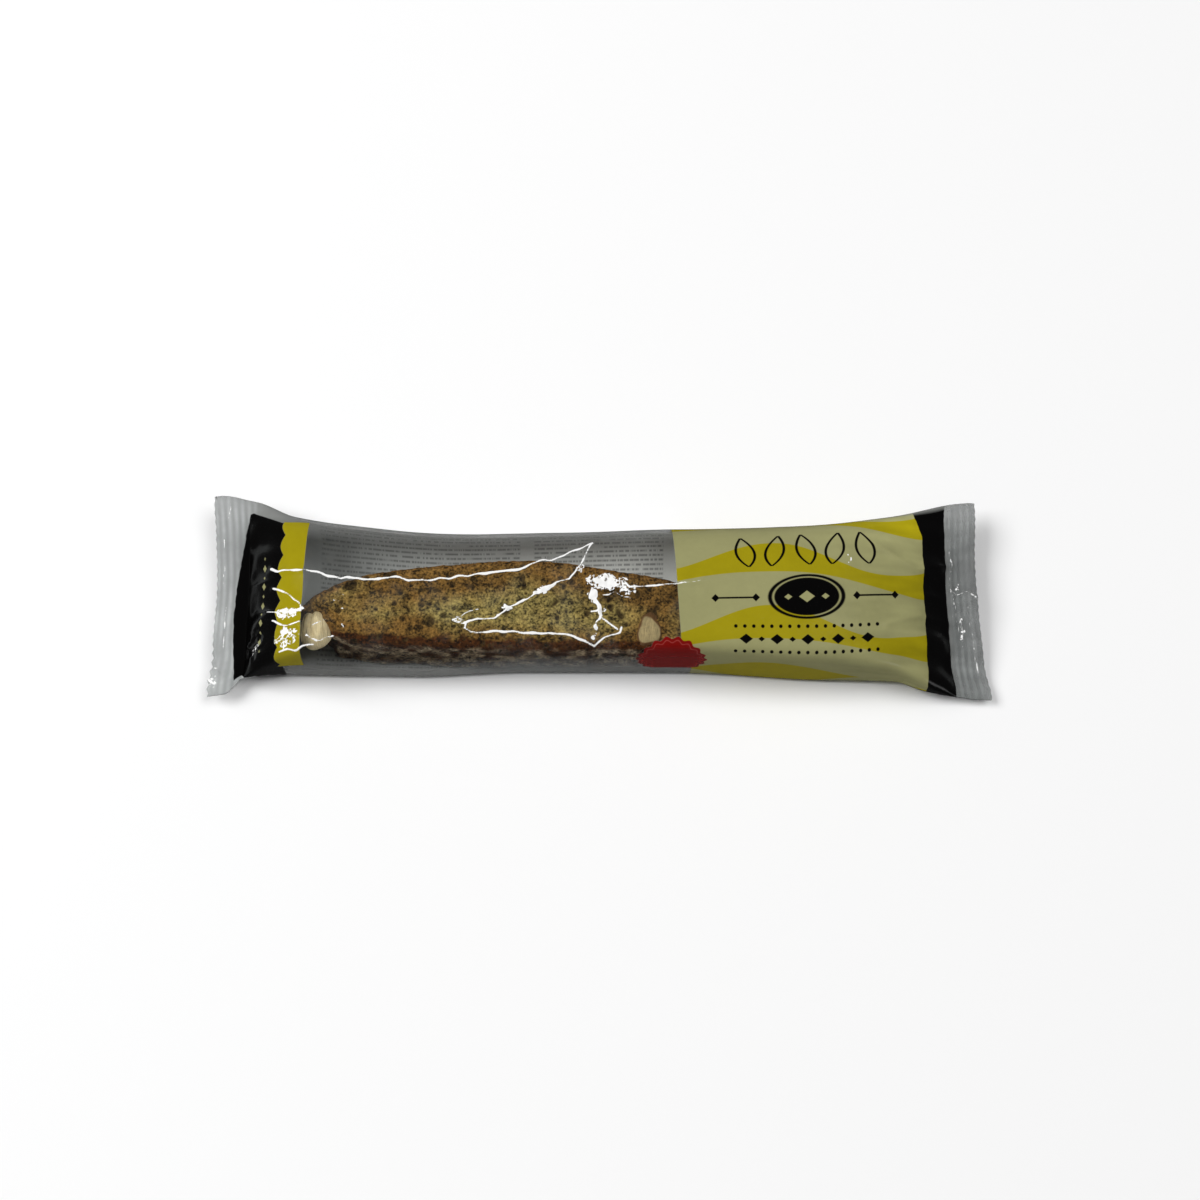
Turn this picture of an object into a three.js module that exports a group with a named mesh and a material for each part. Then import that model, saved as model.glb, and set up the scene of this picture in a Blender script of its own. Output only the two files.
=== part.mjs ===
// A biscotto sealed in a printed, clear flow-wrap film pack, lying on its back with the window up.
// The pack is one closed solid: a pillow of film around the biscotto, pressed flat into a crimped,
// zigzag-cut seal at each end. Millimetres, +Z up, +X along the pack towards the printed panel.
// The origin is the middle of the pack's box, on the surface that it lies on.

import * as THREE from "three";
import { mergeVertices } from "three/addons/utils/BufferGeometryUtils.js";

// Driving dimensions of the pack
const PACK_LENGTH = 190;
const FLAT_WIDTH = 50;
const PACK_HEIGHT = 20;
const SEAL_LENGTH = 8.5;
const SEAL_THICKNESS = 0.8;
const SEAL_TAPER = 1;
const TOOTH_PITCH = 2.2;
const TOOTH_DEPTH = 0.7;

// The pack seen from above: its front and back edges as [along, across], drawn in round the biscotto
const FRONT_OUTLINE = [
  [-95, -25], [-90, -24.5], [-86, -20.5], [-72, -18.9], [-45, -19], [-18, -17.6],
  [20, -17.3], [50, -18.8], [70, -19.4], [80, -22.4], [95, -23.8],
];
const BACK_OUTLINE = [
  [-95, 25], [-84, 23.4], [-74, 19.2], [-62, 16.9], [-34, 14.7], [10, 16.2],
  [50, 17.8], [70, 20.7], [86, 24], [95, 25],
];

// Across the pack the film is squarer in front, where it hugs the biscotto, and slopes to a fold at the back
const FRONT_EDGE_HEIGHT = 6;
const BACK_EDGE_HEIGHT = 8;
const FRONT_SQUARENESS = 8;
const BACK_SQUARENESS = 2.2;
const FLOOR_PRESS = 0.7;

// At each end: the run from the seal to full height, the inward bow of the cut and how far its front and back
// corners are cut in, the seal's height at those corners, and where across it its slow wave starts, as a
// share of a turn
const LEFT_END = {
  fill: 20.5, bow: 1.7, frontCut: 0.9, backCut: 0, frontHeight: 3.6, backHeight: 8.2, waveStart: 0.1,
};
const RIGHT_END = {
  fill: 42, bow: 2, frontCut: 0, backCut: 2.9, frontHeight: 3.2, backHeight: 8.8, waveStart: 0.6,
};

// Pleats where the pillow is gathered into a seal, highest a little inside it, and the seal's own wave
const PLEAT_HEIGHT = 0.7;
const PLEAT_COUNT = 5;
const PLEAT_CREST = 3;
const PLEAT_REACH = 14;
const SEAL_WAVE = 0.5;

// Grid steps: one column is half a tooth, and rows are close together near the seals
const TEETH = Math.round(FLAT_WIDTH / TOOTH_PITCH);
const COLUMNS = 2 * TEETH;
const SEAL_ROWS = 4;
const SHOULDER_STEP = 2.6;
const SHOULDER_LENGTH = 26;
const BODY_STEP = 6;

const HALF_LENGTH = PACK_LENGTH / 2;
const SEAL_INNER = HALF_LENGTH - SEAL_LENGTH;

const { clamp, lerp, smoothstep } = THREE.MathUtils;

// A quarter sine: leaves a seal steeply and rounds over to level
function roundOver(distance, run) {
  return Math.sin((Math.PI / 2) * clamp(distance / run, 0, 1));
}

// How steeply an outline runs through one of its points: nought at a turning point, so it never overshoots
function slopeThrough(points, i) {
  if (i === 0 || i === points.length - 1) return 0;
  const before = (points[i][1] - points[i - 1][1]) / (points[i][0] - points[i - 1][0]);
  const after = (points[i + 1][1] - points[i][1]) / (points[i + 1][0] - points[i][0]);
  return before * after > 0 ? (2 * before * after) / (before + after) : 0;
}

// Where an outline lies across the pack, on a smooth cubic between the points on each side
function outlineAt(points, x) {
  const next = points.findIndex((point) => point[0] >= x);
  const i = Math.max(0, next - 1);
  const [x0, y0] = points[i];
  const [x1, y1] = points[i + 1];
  const span = x1 - x0;
  const t = (x - x0) / span;
  const ease = t * t * (3 - 2 * t);
  const leaving = t * (1 - t) * (1 - t) * span * slopeThrough(points, i);
  const arriving = t * t * (1 - t) * span * slopeThrough(points, i + 1);
  return lerp(y0, y1, ease) + leaving - arriving;
}

// The shape of the pack's section at one distance along its length
function stationAt(x) {
  const end = x < 0 ? LEFT_END : RIGHT_END;
  const inside = SEAL_INNER - Math.abs(x);
  const fromEnd = HALF_LENGTH - Math.abs(x);
  const pleatFade = 1 - smoothstep(inside, PLEAT_CREST, PLEAT_REACH);
  const filled = roundOver(inside, end.fill);
  return {
    x,
    end,
    front: outlineAt(FRONT_OUTLINE, x),
    back: outlineAt(BACK_OUTLINE, x),
    filled,
    frontHeight: lerp(end.frontHeight, FRONT_EDGE_HEIGHT, filled),
    backHeight: lerp(end.backHeight, BACK_EDGE_HEIGHT, filled),
    halfSeal: (SEAL_THICKNESS / 2) * Math.min(1, fromEnd / SEAL_TAPER),
    isCut: fromEnd === 0,
    pleat: PLEAT_HEIGHT * smoothstep(inside, 0, PLEAT_CREST) * pleatFade,
  };
}

// One sheet of film across the pack at a station, from its front edge to its back edge.
// Each side is a quarter of a superellipse, squarer in front, between the edge and the sheet's level.
class FilmSheet extends THREE.Curve {
  constructor(station, isTop) {
    super();
    this.station = station;
    this.isTop = isTop;
  }

  getPoint(t, target = new THREE.Vector3()) {
    const s = this.station;
    const centre = (s.front + s.back) / 2;
    const halfWidth = (s.back - s.front) / 2;
    const angle = Math.PI * (1 - t);
    const across = Math.cos(angle);
    const power = 2 / (across < 0 ? FRONT_SQUARENESS : BACK_SQUARENESS);
    const y = centre + halfWidth * Math.sign(across) * Math.abs(across) ** power;
    const lift = Math.abs(Math.sin(angle)) ** power;
    const share = (y - s.front) / (s.back - s.front);
    const wave = SEAL_WAVE * (1 - s.filled) * Math.sin(2 * Math.PI * (share + s.end.waveStart));
    const edge = lerp(s.frontHeight, s.backHeight, share) + wave;
    const pleat = s.pleat * Math.sin(2 * Math.PI * PLEAT_COUNT * share) * lift;
    const level = this.isTop ? PACK_HEIGHT : -FLOOR_PRESS;
    const side = this.isTop ? 1 : -1;
    const reach = lerp(s.halfSeal, Math.abs(level - edge), s.filled);
    return target.set(s.x, y, Math.max(0, edge + side * reach * lift + pleat));
  }
}

// Distances along the pack: a few rows in each seal, close rows over the shoulders, longer ones between
function stations() {
  const half = [];
  for (let i = 0; i <= SEAL_ROWS; i++) half.push(HALF_LENGTH - (SEAL_LENGTH * i) / SEAL_ROWS);
  half.splice(1, 0, HALF_LENGTH - SEAL_TAPER);
  const shoulderRows = Math.round(SHOULDER_LENGTH / SHOULDER_STEP);
  for (let i = 1; i <= shoulderRows; i++) half.push(SEAL_INNER - i * SHOULDER_STEP);
  const bodyRows = Math.round(half.at(-1) / BODY_STEP);
  const bodyStart = half.at(-1);
  for (let i = 1; i < bodyRows; i++) half.push(bodyStart * (1 - i / bodyRows));
  return [...half.map((x) => -x), 0, ...half.reverse()].map(stationAt);
}

// The cut end is a zigzag that slants a little and bows inwards between its corners
function cutEnd(points, station) {
  const { bow, frontCut, backCut } = station.end;
  const outwards = Math.sign(station.x);
  const nearEnd = smoothstep(Math.abs(station.x), SEAL_INNER - PLEAT_REACH, HALF_LENGTH);
  points.forEach((point, i) => {
    const across = clamp((2 * point.y) / FLAT_WIDTH, -1, 1);
    const slant = lerp(frontCut, backCut, (1 + across) / 2);
    const tooth = station.isCut && i % 2 === 1 ? TOOTH_DEPTH : 0;
    point.x -= outwards * ((bow * (1 - across * across) + slant) * nearEnd + tooth);
  });
  return points;
}

// A ring of points round the pack: over the top sheet from front to back, and back under the bottom sheet
function ringAt(station) {
  const top = cutEnd(new FilmSheet(station, true).getSpacedPoints(COLUMNS), station);
  const bottom = cutEnd(new FilmSheet(station, false).getSpacedPoints(COLUMNS), station);
  return [...top, ...bottom.slice(1, -1).reverse()];
}

// Joins the rings of neighbouring stations with triangles that face outwards
function loft(rings) {
  const around = rings[0].length;
  const index = [];
  for (let row = 0; row + 1 < rings.length; row++) {
    for (let k = 0; k < around; k++) {
      const next = (k + 1) % around;
      const a = row * around + k;
      const b = (row + 1) * around + k;
      const c = (row + 1) * around + next;
      const d = row * around + next;
      index.push(a, b, d, b, c, d);
    }
  }
  const geometry = new THREE.BufferGeometry().setFromPoints(rings.flat());
  geometry.setIndex(index);
  return mergeVertices(geometry);
}

function filmPack() {
  const film = new THREE.MeshStandardMaterial({ color: 0x8f9492, roughness: 0.2, metalness: 0 });
  const geometry = loft(stations().map(ringAt));
  geometry.computeVertexNormals();
  const mesh = new THREE.Mesh(geometry, film);
  mesh.name = "biscotti_pack";
  return mesh;
}

const biscottiPack = new THREE.Group();
biscottiPack.add(filmPack());

export default biscottiPack;
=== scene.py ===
# %% [markdown]
# # A biscotto in its clear film pack
# One long almond biscotto lies in a sealed flow-wrap: a tube of thin clear film, printed in fields of
# colour and pressed flat into a crimped seal at each end. The solid model gives the pack's outer form.
# Here that form becomes what it really is: a skin of film with creases, and the biscuit inside it.
# Lengths in this lesson are millimetres until a mesh is made, because that is how a pack is measured.

# %% Load the frame
import math
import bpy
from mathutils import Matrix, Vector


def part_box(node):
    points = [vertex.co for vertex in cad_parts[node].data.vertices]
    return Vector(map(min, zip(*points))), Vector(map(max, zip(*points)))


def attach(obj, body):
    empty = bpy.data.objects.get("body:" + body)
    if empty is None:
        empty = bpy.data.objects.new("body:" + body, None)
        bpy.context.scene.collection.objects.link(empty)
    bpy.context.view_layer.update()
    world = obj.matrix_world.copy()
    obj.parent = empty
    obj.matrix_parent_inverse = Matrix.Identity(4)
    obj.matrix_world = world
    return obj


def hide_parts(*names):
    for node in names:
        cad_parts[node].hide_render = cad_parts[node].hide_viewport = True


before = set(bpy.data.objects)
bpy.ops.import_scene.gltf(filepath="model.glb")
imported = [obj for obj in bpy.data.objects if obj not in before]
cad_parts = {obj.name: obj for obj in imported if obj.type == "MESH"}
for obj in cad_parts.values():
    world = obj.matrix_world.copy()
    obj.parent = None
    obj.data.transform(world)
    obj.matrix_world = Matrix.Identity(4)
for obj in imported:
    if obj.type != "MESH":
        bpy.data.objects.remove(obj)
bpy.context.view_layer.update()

from types import SimpleNamespace

import bpy
import numpy as np
from mathutils import Vector

PACK_NODE = "biscotti_pack"
METRES = 0.001
low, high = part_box(PACK_NODE)
PACK_LENGTH, FLAT_WIDTH, PACK_HEIGHT = (size / METRES for size in high - low)
HALF_LENGTH = PACK_LENGTH / 2
print(f"pack {PACK_LENGTH:.1f} x {FLAT_WIDTH:.1f} x {PACK_HEIGHT:.1f} mm")

# %% [markdown]
# ## Small tools for shapes
# Every surface below is a formula on a grid of two parameters, so a few array helpers come first. `smooth`
# is the S-curve that eases from 0 to 1. `line_through` draws a smooth line through a few chosen points: it
# never overshoots them, which a plain spline would do at the sudden flare of a seal.

# %% Array helpers
def smooth(t):
    """The S-curve 3t^2 - 2t^3, held at 0 below 0 and at 1 above 1."""
    t = np.clip(t, 0, 1)
    return t * t * (3 - 2 * t)


def ramp(x, start, end):
    """An S-curve in x from 0 at start to 1 at end."""
    return smooth((x - start) / (end - start))


def mix(a, b, share):
    """The value a share of the way from a to b."""
    return a + (b - a) * share


def line_through(points, x):
    """A cubic between neighbouring points, whose slope at each is the harmonic mean of the slopes
    on both sides, or nought at a turning point."""
    along, across = np.array(points, float).T
    slope = np.diff(across) / np.diff(along)
    same_way = slope[:-1] * slope[1:] > 0
    total = np.where(same_way, slope[:-1] + slope[1:], 1)
    through = np.zeros(len(along))
    through[1:-1] = np.where(same_way, 2 * slope[:-1] * slope[1:] / total, 0)
    i = np.clip(np.searchsorted(along, x) - 1, 0, len(along) - 2)
    span = along[i + 1] - along[i]
    t = (x - along[i]) / span
    bend = span * t * (1 - t) * ((1 - t) * through[i] - t * through[i + 1])
    return mix(across[i], across[i + 1], smooth(t)) + bend


# %% [markdown]
# ## Noise
# Baked crumb and crinkled film are uneven at many sizes. Blender's noise textures live in materials, but
# here the unevenness has to be in the mesh. So we make value noise from whole arrays: a scrambled number
# for each corner of a lattice, blended between corners. Cell noise measures how far each point is from a
# scattered seed, which makes round pores.

# %% Noise helpers
CELL_STEPS, SEED_STEP, SCRAMBLE = (374761393, 668265263, 974634221), 1442695, 1274126177
LOW_BITS = 2**32 - 1
# A pit's radii and the bend of its outline as shares of a cell, and its flat floor as a share of its radius
PIT_RADII, PIT_FLOOR = (0.18, 0.46), 0.5
PIT_BEND, PIT_BEND_SIZE = 0.14, 0.3


def lattice_number(cell, seed):
    """A scrambled number from 0 to 1 for each lattice cell: multiply, fold the high bits over, multiply."""
    mixed = sum(cell[..., axis] * step for axis, step in enumerate(CELL_STEPS)) + seed * SEED_STEP
    mixed = mixed & LOW_BITS
    mixed = ((mixed ^ (mixed >> 13)) * SCRAMBLE) & LOW_BITS
    return (mixed ^ (mixed >> 16)) / (LOW_BITS + 1)


def noise(points, size, seed):
    """Value noise from -1 to 1: eight lattice numbers blended by S-curves, with cells of the given size."""
    scaled = points / size
    cell = np.floor(scaled).astype(np.int64)
    blend = smooth(scaled - cell)
    total = 0
    for corner in np.ndindex(2, 2, 2):
        weight = np.prod(np.where(corner, blend, 1 - blend), axis=-1)
        total = total + weight * lattice_number(cell + np.array(corner), seed)
    return 2 * total - 1


def rough(points, size, seed, layers=3):
    """Layers of noise, each half the size and half the height of the one before."""
    return sum(noise(points, size / 2**k, seed + k) / 2**k for k in range(layers))


def pores(points, size, seed, fill):
    """Uneven pits, 1 at the middle and 0 outside: the distance to the nearest seed, one seed to a cell,
    set against that seed's own radius. A share of the cells, fill, has a pit. Noise bends the outlines."""
    bend = np.stack([noise(points, PIT_BEND_SIZE * size, seed + 5 + axis) for axis in range(3)], axis=-1)
    scaled = points / size + PIT_BEND * bend
    cell = np.floor(scaled).astype(np.int64)
    deepest = np.zeros(points.shape[:-1])
    for step in np.ndindex(3, 3, 3):
        near = cell + np.array(step) - 1
        jitter = np.stack([lattice_number(near, seed + axis) for axis in range(3)], axis=-1)
        radius = mix(*PIT_RADII, lattice_number(near, seed + 3) ** 2)
        distance = np.linalg.norm(scaled - near - jitter, axis=-1)
        pit = 1 - ramp(distance, PIT_FLOOR * radius, radius)
        deepest = np.maximum(deepest, np.where(lattice_number(near, seed + 4) < fill, pit, 0))
    return deepest


# %% [markdown]
# ## From arrays to a mesh
# A mesh could be built point by point with operators, which is slow. `foreach_set` and `from_pydata` put
# whole arrays into it at once. Each piece is made in place: its object stays at the origin, and millimetres
# become metres here. Values that a material needs, such as how far along the film a point lies, go in as
# named attributes on the points.

# %% Mesh helpers
SHORTEST = 1e-9


def make_piece(name, points, faces, attributes=None):
    """A smooth-shaded mesh object from points in mm and faces, riding on the pack's one body."""
    mesh = bpy.data.meshes.new(name)
    mesh.from_pydata((points.reshape(-1, 3) * METRES).tolist(), [], faces)
    for label, values in (attributes or {}).items():
        layer = mesh.attributes.new(label, "FLOAT", "POINT")
        layer.data.foreach_set("value", np.asarray(values, np.float32).ravel())
    mesh.validate()
    mesh.shade_smooth()
    piece = bpy.data.objects.new(name, mesh)
    bpy.context.scene.collection.objects.link(piece)
    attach(piece, "root")
    triangles = sum(len(face) - 2 for face in faces)
    print(f"{name}: {len(mesh.vertices)} points, {triangles} triangles")
    return piece


def grid_faces(index):
    """Four-cornered faces between the neighbouring rows and columns of a grid of point numbers."""
    corners = [index[:-1, :-1], index[1:, :-1], index[1:, 1:], index[:-1, 1:]]
    return np.stack(corners, axis=-1).reshape(-1, 4).tolist()


def point_numbers(points):
    """The points of a grid, numbered row by row."""
    return np.arange(points[..., 0].size).reshape(points.shape[:2])


def closed_grid(points):
    """Point numbers of a grid whose rows close on themselves and whose first and last rows are one point
    each."""
    index = point_numbers(points)
    index[0] = index[0, 0]
    index[-1] = index[-1, 0]
    return np.concatenate([index, index[:, :1]], axis=1)


def closed_faces(index):
    """The faces of a closed grid. Beside its tips two corners of a face are one point, which is kept once."""
    return [list(dict.fromkeys(face)) for face in grid_faces(index)]


def unit(vectors):
    """Each vector divided by its own length."""
    return vectors / np.maximum(np.linalg.norm(vectors, axis=-1, keepdims=True), SHORTEST)


# %% [markdown]
# ## The film's form
# A flow-wrap starts as a flat tube. Near a seal it is wide and thin, and round the biscotto it is drawn in
# and tall. A cloth simulation could swell such a tube, but its folds would fall where they like. So the
# section is a formula, built from quarter superellipses: square in front, where the film hugs the biscuit,
# and rounder behind, where it slopes to a fold. The same sizes shaped the solid model, so the film lies
# where the solid's surface is. Pairs of values are for the left end and the right end.

# %% Sizes of the film
SEAL_LENGTH = 8.5
SEAL_GAP = 0.14
FLOOR_GAP = 0.2
FLOOR_PRESS = 0.7
FRONT_OUTLINE = [
    (-95, -25), (-90, -24.5), (-86, -20.5), (-72, -18.9), (-45, -19), (-18, -17.6),
    (20, -17.3), (50, -18.8), (70, -19.4), (80, -22.4), (95, -23.8),
]
BACK_OUTLINE = [
    (-95, 25), (-84, 23.4), (-74, 19.2), (-62, 16.9), (-34, 14.7), (10, 16.2),
    (50, 17.8), (70, 20.7), (86, 24), (95, 25),
]
FRONT_EDGE_HEIGHT, BACK_EDGE_HEIGHT = 6, 8
FRONT_SQUARENESS, BACK_SQUARENESS = 8, 2.2
FILL_RUN = (20.5, 42)
END_BOW = (1.7, 2.0)
FRONT_CUT, BACK_CUT = (0.9, 0.0), (0.0, 2.9)
SEAL_FRONT_HEIGHT = (3.6, 3.2)
SEAL_BACK_HEIGHT = (8.2, 8.8)
WAVE_START = (0.1, 0.6)
SEAL_WAVE = 0.5
PLEAT_HEIGHT, PLEAT_COUNT, PLEAT_CREST, PLEAT_REACH = 0.7, 5, 3, 14
SEAL_INNER = HALF_LENGTH - SEAL_LENGTH

# %% Stations along the film
# Start, end and step of each run of rows: fine over the window, where the creases are, coarse over the panel
ROW_RUNS = [
    (-HALF_LENGTH, -SEAL_INNER, 0.36), (-SEAL_INNER, -78, 0.45), (-78, 20, 0.34),
    (20, SEAL_INNER, 0.72), (SEAL_INNER, HALF_LENGTH, 0.36),
]
TOP_COLUMNS, COLUMN_RATIO = 168, 4
UNDER_COLUMNS = TOP_COLUMNS // COLUMN_RATIO
runs = [
    np.linspace(start, end, round((end - start) / step), endpoint=False) for start, end, step in ROW_RUNS
]
station = np.concatenate(runs + [[HALF_LENGTH]])[:, None]
right_end = station > 0
outwards = np.where(right_end, 1, -1)
inside = SEAL_INNER - np.abs(station)
from_end = HALF_LENGTH - np.abs(station)


def by_end(values):
    """The left value on rows left of the middle and the right value on the others."""
    return np.where(right_end, values[1], values[0])


filled = np.sin(np.pi / 2 * np.clip(inside / by_end(FILL_RUN), 0, 1))
front_edge = line_through(FRONT_OUTLINE, station)
back_edge = line_through(BACK_OUTLINE, station)
pleat_size = PLEAT_HEIGHT * ramp(inside, 0, PLEAT_CREST) * (1 - ramp(inside, PLEAT_CREST, PLEAT_REACH))
print(f"{len(station)} rows, body {float(np.min(back_edge - front_edge)):.1f} mm across at its waist")


# %% One sheet of film
SECTION_STEPS = 400


def even_steps(across, height, columns):
    """Moves the points of each row to equal distances along its curve. All rows are laid end to end,
    two units apart, so one interpolation serves them all."""
    across, height = np.broadcast_arrays(across, height)
    length = np.hypot(np.diff(across, axis=1), np.diff(height, axis=1)).cumsum(axis=1)
    length = np.concatenate([np.zeros((len(length), 1)), length], axis=1)
    shift = 2 * np.arange(len(length))[:, None]
    have = (length / length[:, -1:] + shift).ravel()
    want = (np.linspace(0, 1, columns + 1) + shift).ravel()
    shape = (len(length), columns + 1)
    return [np.interp(want, have, values.ravel()).reshape(shape) for values in (across, height)]


def drawn_in(across):
    """How far a row is pulled in near an end: a parabola across the pack plus a slant."""
    spread = np.clip(2 * across / FLAT_WIDTH, -1, 1)
    bow = by_end(END_BOW) * (1 - spread**2)
    slant = mix(by_end(FRONT_CUT), by_end(BACK_CUT), (1 + spread) / 2)
    return (bow + slant) * ramp(np.abs(station), SEAL_INNER - PLEAT_REACH, HALF_LENGTH)


def film_sheet(is_top, columns):
    """Each row runs from the front edge to the back edge. Across it goes the power 2/n of a cosine, and up
    or down from the edges' own slanting line goes the power 2/n of a sine, where n is the squareness."""
    angle = np.pi * (1 - np.linspace(0, 1, SECTION_STEPS + 1))[None, :]
    power = 2 / np.where(np.cos(angle) < 0, FRONT_SQUARENESS, BACK_SQUARENESS)
    spread = np.sign(np.cos(angle)) * np.abs(np.cos(angle)) ** power
    lift = np.abs(np.sin(angle)) ** power
    across = (front_edge + back_edge) / 2 + (back_edge - front_edge) / 2 * spread
    share = (across - front_edge) / (back_edge - front_edge)
    edge_front = mix(by_end(SEAL_FRONT_HEIGHT), FRONT_EDGE_HEIGHT, filled)
    edge_back = mix(by_end(SEAL_BACK_HEIGHT), BACK_EDGE_HEIGHT, filled)
    wave = SEAL_WAVE * (1 - filled) * np.sin(2 * np.pi * (share + by_end(WAVE_START)))
    edge = mix(edge_front, edge_back, share) + wave
    pleat = pleat_size * np.sin(2 * np.pi * PLEAT_COUNT * share) * lift
    level = PACK_HEIGHT if is_top else -FLOOR_PRESS
    reach = mix(SEAL_GAP / 2, np.abs(level - edge), filled) * np.where(from_end > 0, 1, 0)
    height = edge + (1 if is_top else -1) * reach * lift + pleat
    across, height = even_steps(across, np.maximum(height, FLOOR_GAP), columns)
    along = station - outwards * drawn_in(across)
    return np.stack(np.broadcast_arrays(along, across, height), axis=-1)


top = film_sheet(True, TOP_COLUMNS)
under = film_sheet(False, UNDER_COLUMNS)
print("top sheet", top.shape, "under sheet", under.shape)

# %% [markdown]
# ## The seals' crimp and zigzag
# Heated jaws press each end together. They leave low ridges that run along the cut, and the blade cuts the
# film in a zigzag. Handling bends the seals, curls their edges and blunts most of the teeth. A bump in the
# material could fake the ridges, but not the outline of the cut, so they are in the mesh. All of it is worked
# out from the place seen from above, so both sheets bend alike and never cross.

# %% Crimp and zigzag
CRIMP_PITCH, CRIMP_HEIGHT, CRIMP_REACH, CRIMP_FADE = 1.7, 0.1, (5.0, 8.0), 0.8
PATCH_SIZE, PATCH_MEAN, PATCH_SWING = 5.0, 0.6, 0.6
BEND_SIZE, BEND_HEIGHT, BEND_RUN = 6.0, (0.45, 0.7), (2, -3)
CURL_REACH, CURL_DROP = 2.2, 0.6
CORNER_START, FRONT_CORNER_PULL, BACK_CORNER_PULL = 21.5, (0.3, 1.3), (0.3, 0.3)
WANDER_SIZE, WANDER, WANDER_RUN = 8.0, 0.45, (6, -2)
TOOTH_PITCH, TOOTH_DEPTH, TOOTH_REACH = 2.2, 0.6, 2.4
KEEN_FRONT, KEEN_BACK, KEEN, BLUNT = -17.0, -10.0, (1.0, 0.35), 0.3


def level_points(plan):
    """Points seen from above, put at height nought so that the noise can read them."""
    return np.concatenate([plan, np.zeros_like(plan[..., :1])], axis=-1)


def crimp(sheet):
    """Adds to the height, inside each seal, a sine along the pack that noise makes weaker here and there,
    slow noise for the bends, and a drop with the square of the nearness to the cut."""
    flat = level_points(sheet[..., :2])
    seal = ramp(from_end, by_end(CRIMP_REACH), by_end(CRIMP_REACH) - 1) * ramp(from_end, 0, CRIMP_FADE)
    patchy = PATCH_MEAN + PATCH_SWING * noise(flat, PATCH_SIZE, seed=3)
    ridges = CRIMP_HEIGHT * seal * patchy * np.sin(2 * np.pi * from_end / CRIMP_PITCH)
    bends = by_end(BEND_HEIGHT) * noise(flat, BEND_SIZE, seed=5) * ramp(inside, *BEND_RUN)
    curl = CURL_DROP * np.clip(1 - from_end / CURL_REACH, 0, 1) ** 2
    sheet[..., 2] += ridges + bends - curl


def zigzag(sheet):
    """Pulls the last rows in by a triangle wave across the pack, deepest in front on the left, pulls the
    corners in by the square of the nearness to them, and shifts the rows by noise."""
    flat = level_points(sheet[..., :2])
    across = sheet[..., 1]
    keenness = mix(by_end(KEEN), BLUNT, ramp(across, KEEN_FRONT, KEEN_BACK))
    tooth = np.abs((across / TOOTH_PITCH) % 1 * 2 - 1) * keenness
    pull = TOOTH_DEPTH * tooth * (1 - np.clip(from_end / TOOTH_REACH, 0, 1))
    corner = np.clip((np.abs(across) - CORNER_START) / (FLAT_WIDTH / 2 - CORNER_START), 0, 1) ** 2
    corner_pull = np.where(across < 0, by_end(FRONT_CORNER_PULL), by_end(BACK_CORNER_PULL))
    pull = pull + corner_pull * corner * (1 - np.clip(from_end / SEAL_LENGTH, 0, 1))
    wander = WANDER * noise(flat * (0, 1, 0), WANDER_SIZE, seed=6) * ramp(inside, *WANDER_RUN)
    sheet[..., 0] -= outwards * (pull + np.maximum(wander, 0))


for sheet in (top, under):
    crimp(sheet)
    zigzag(sheet)
print(f"seals {SEAL_LENGTH} mm long, {int(FLAT_WIDTH / TOOTH_PITCH)} teeth each")
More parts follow.
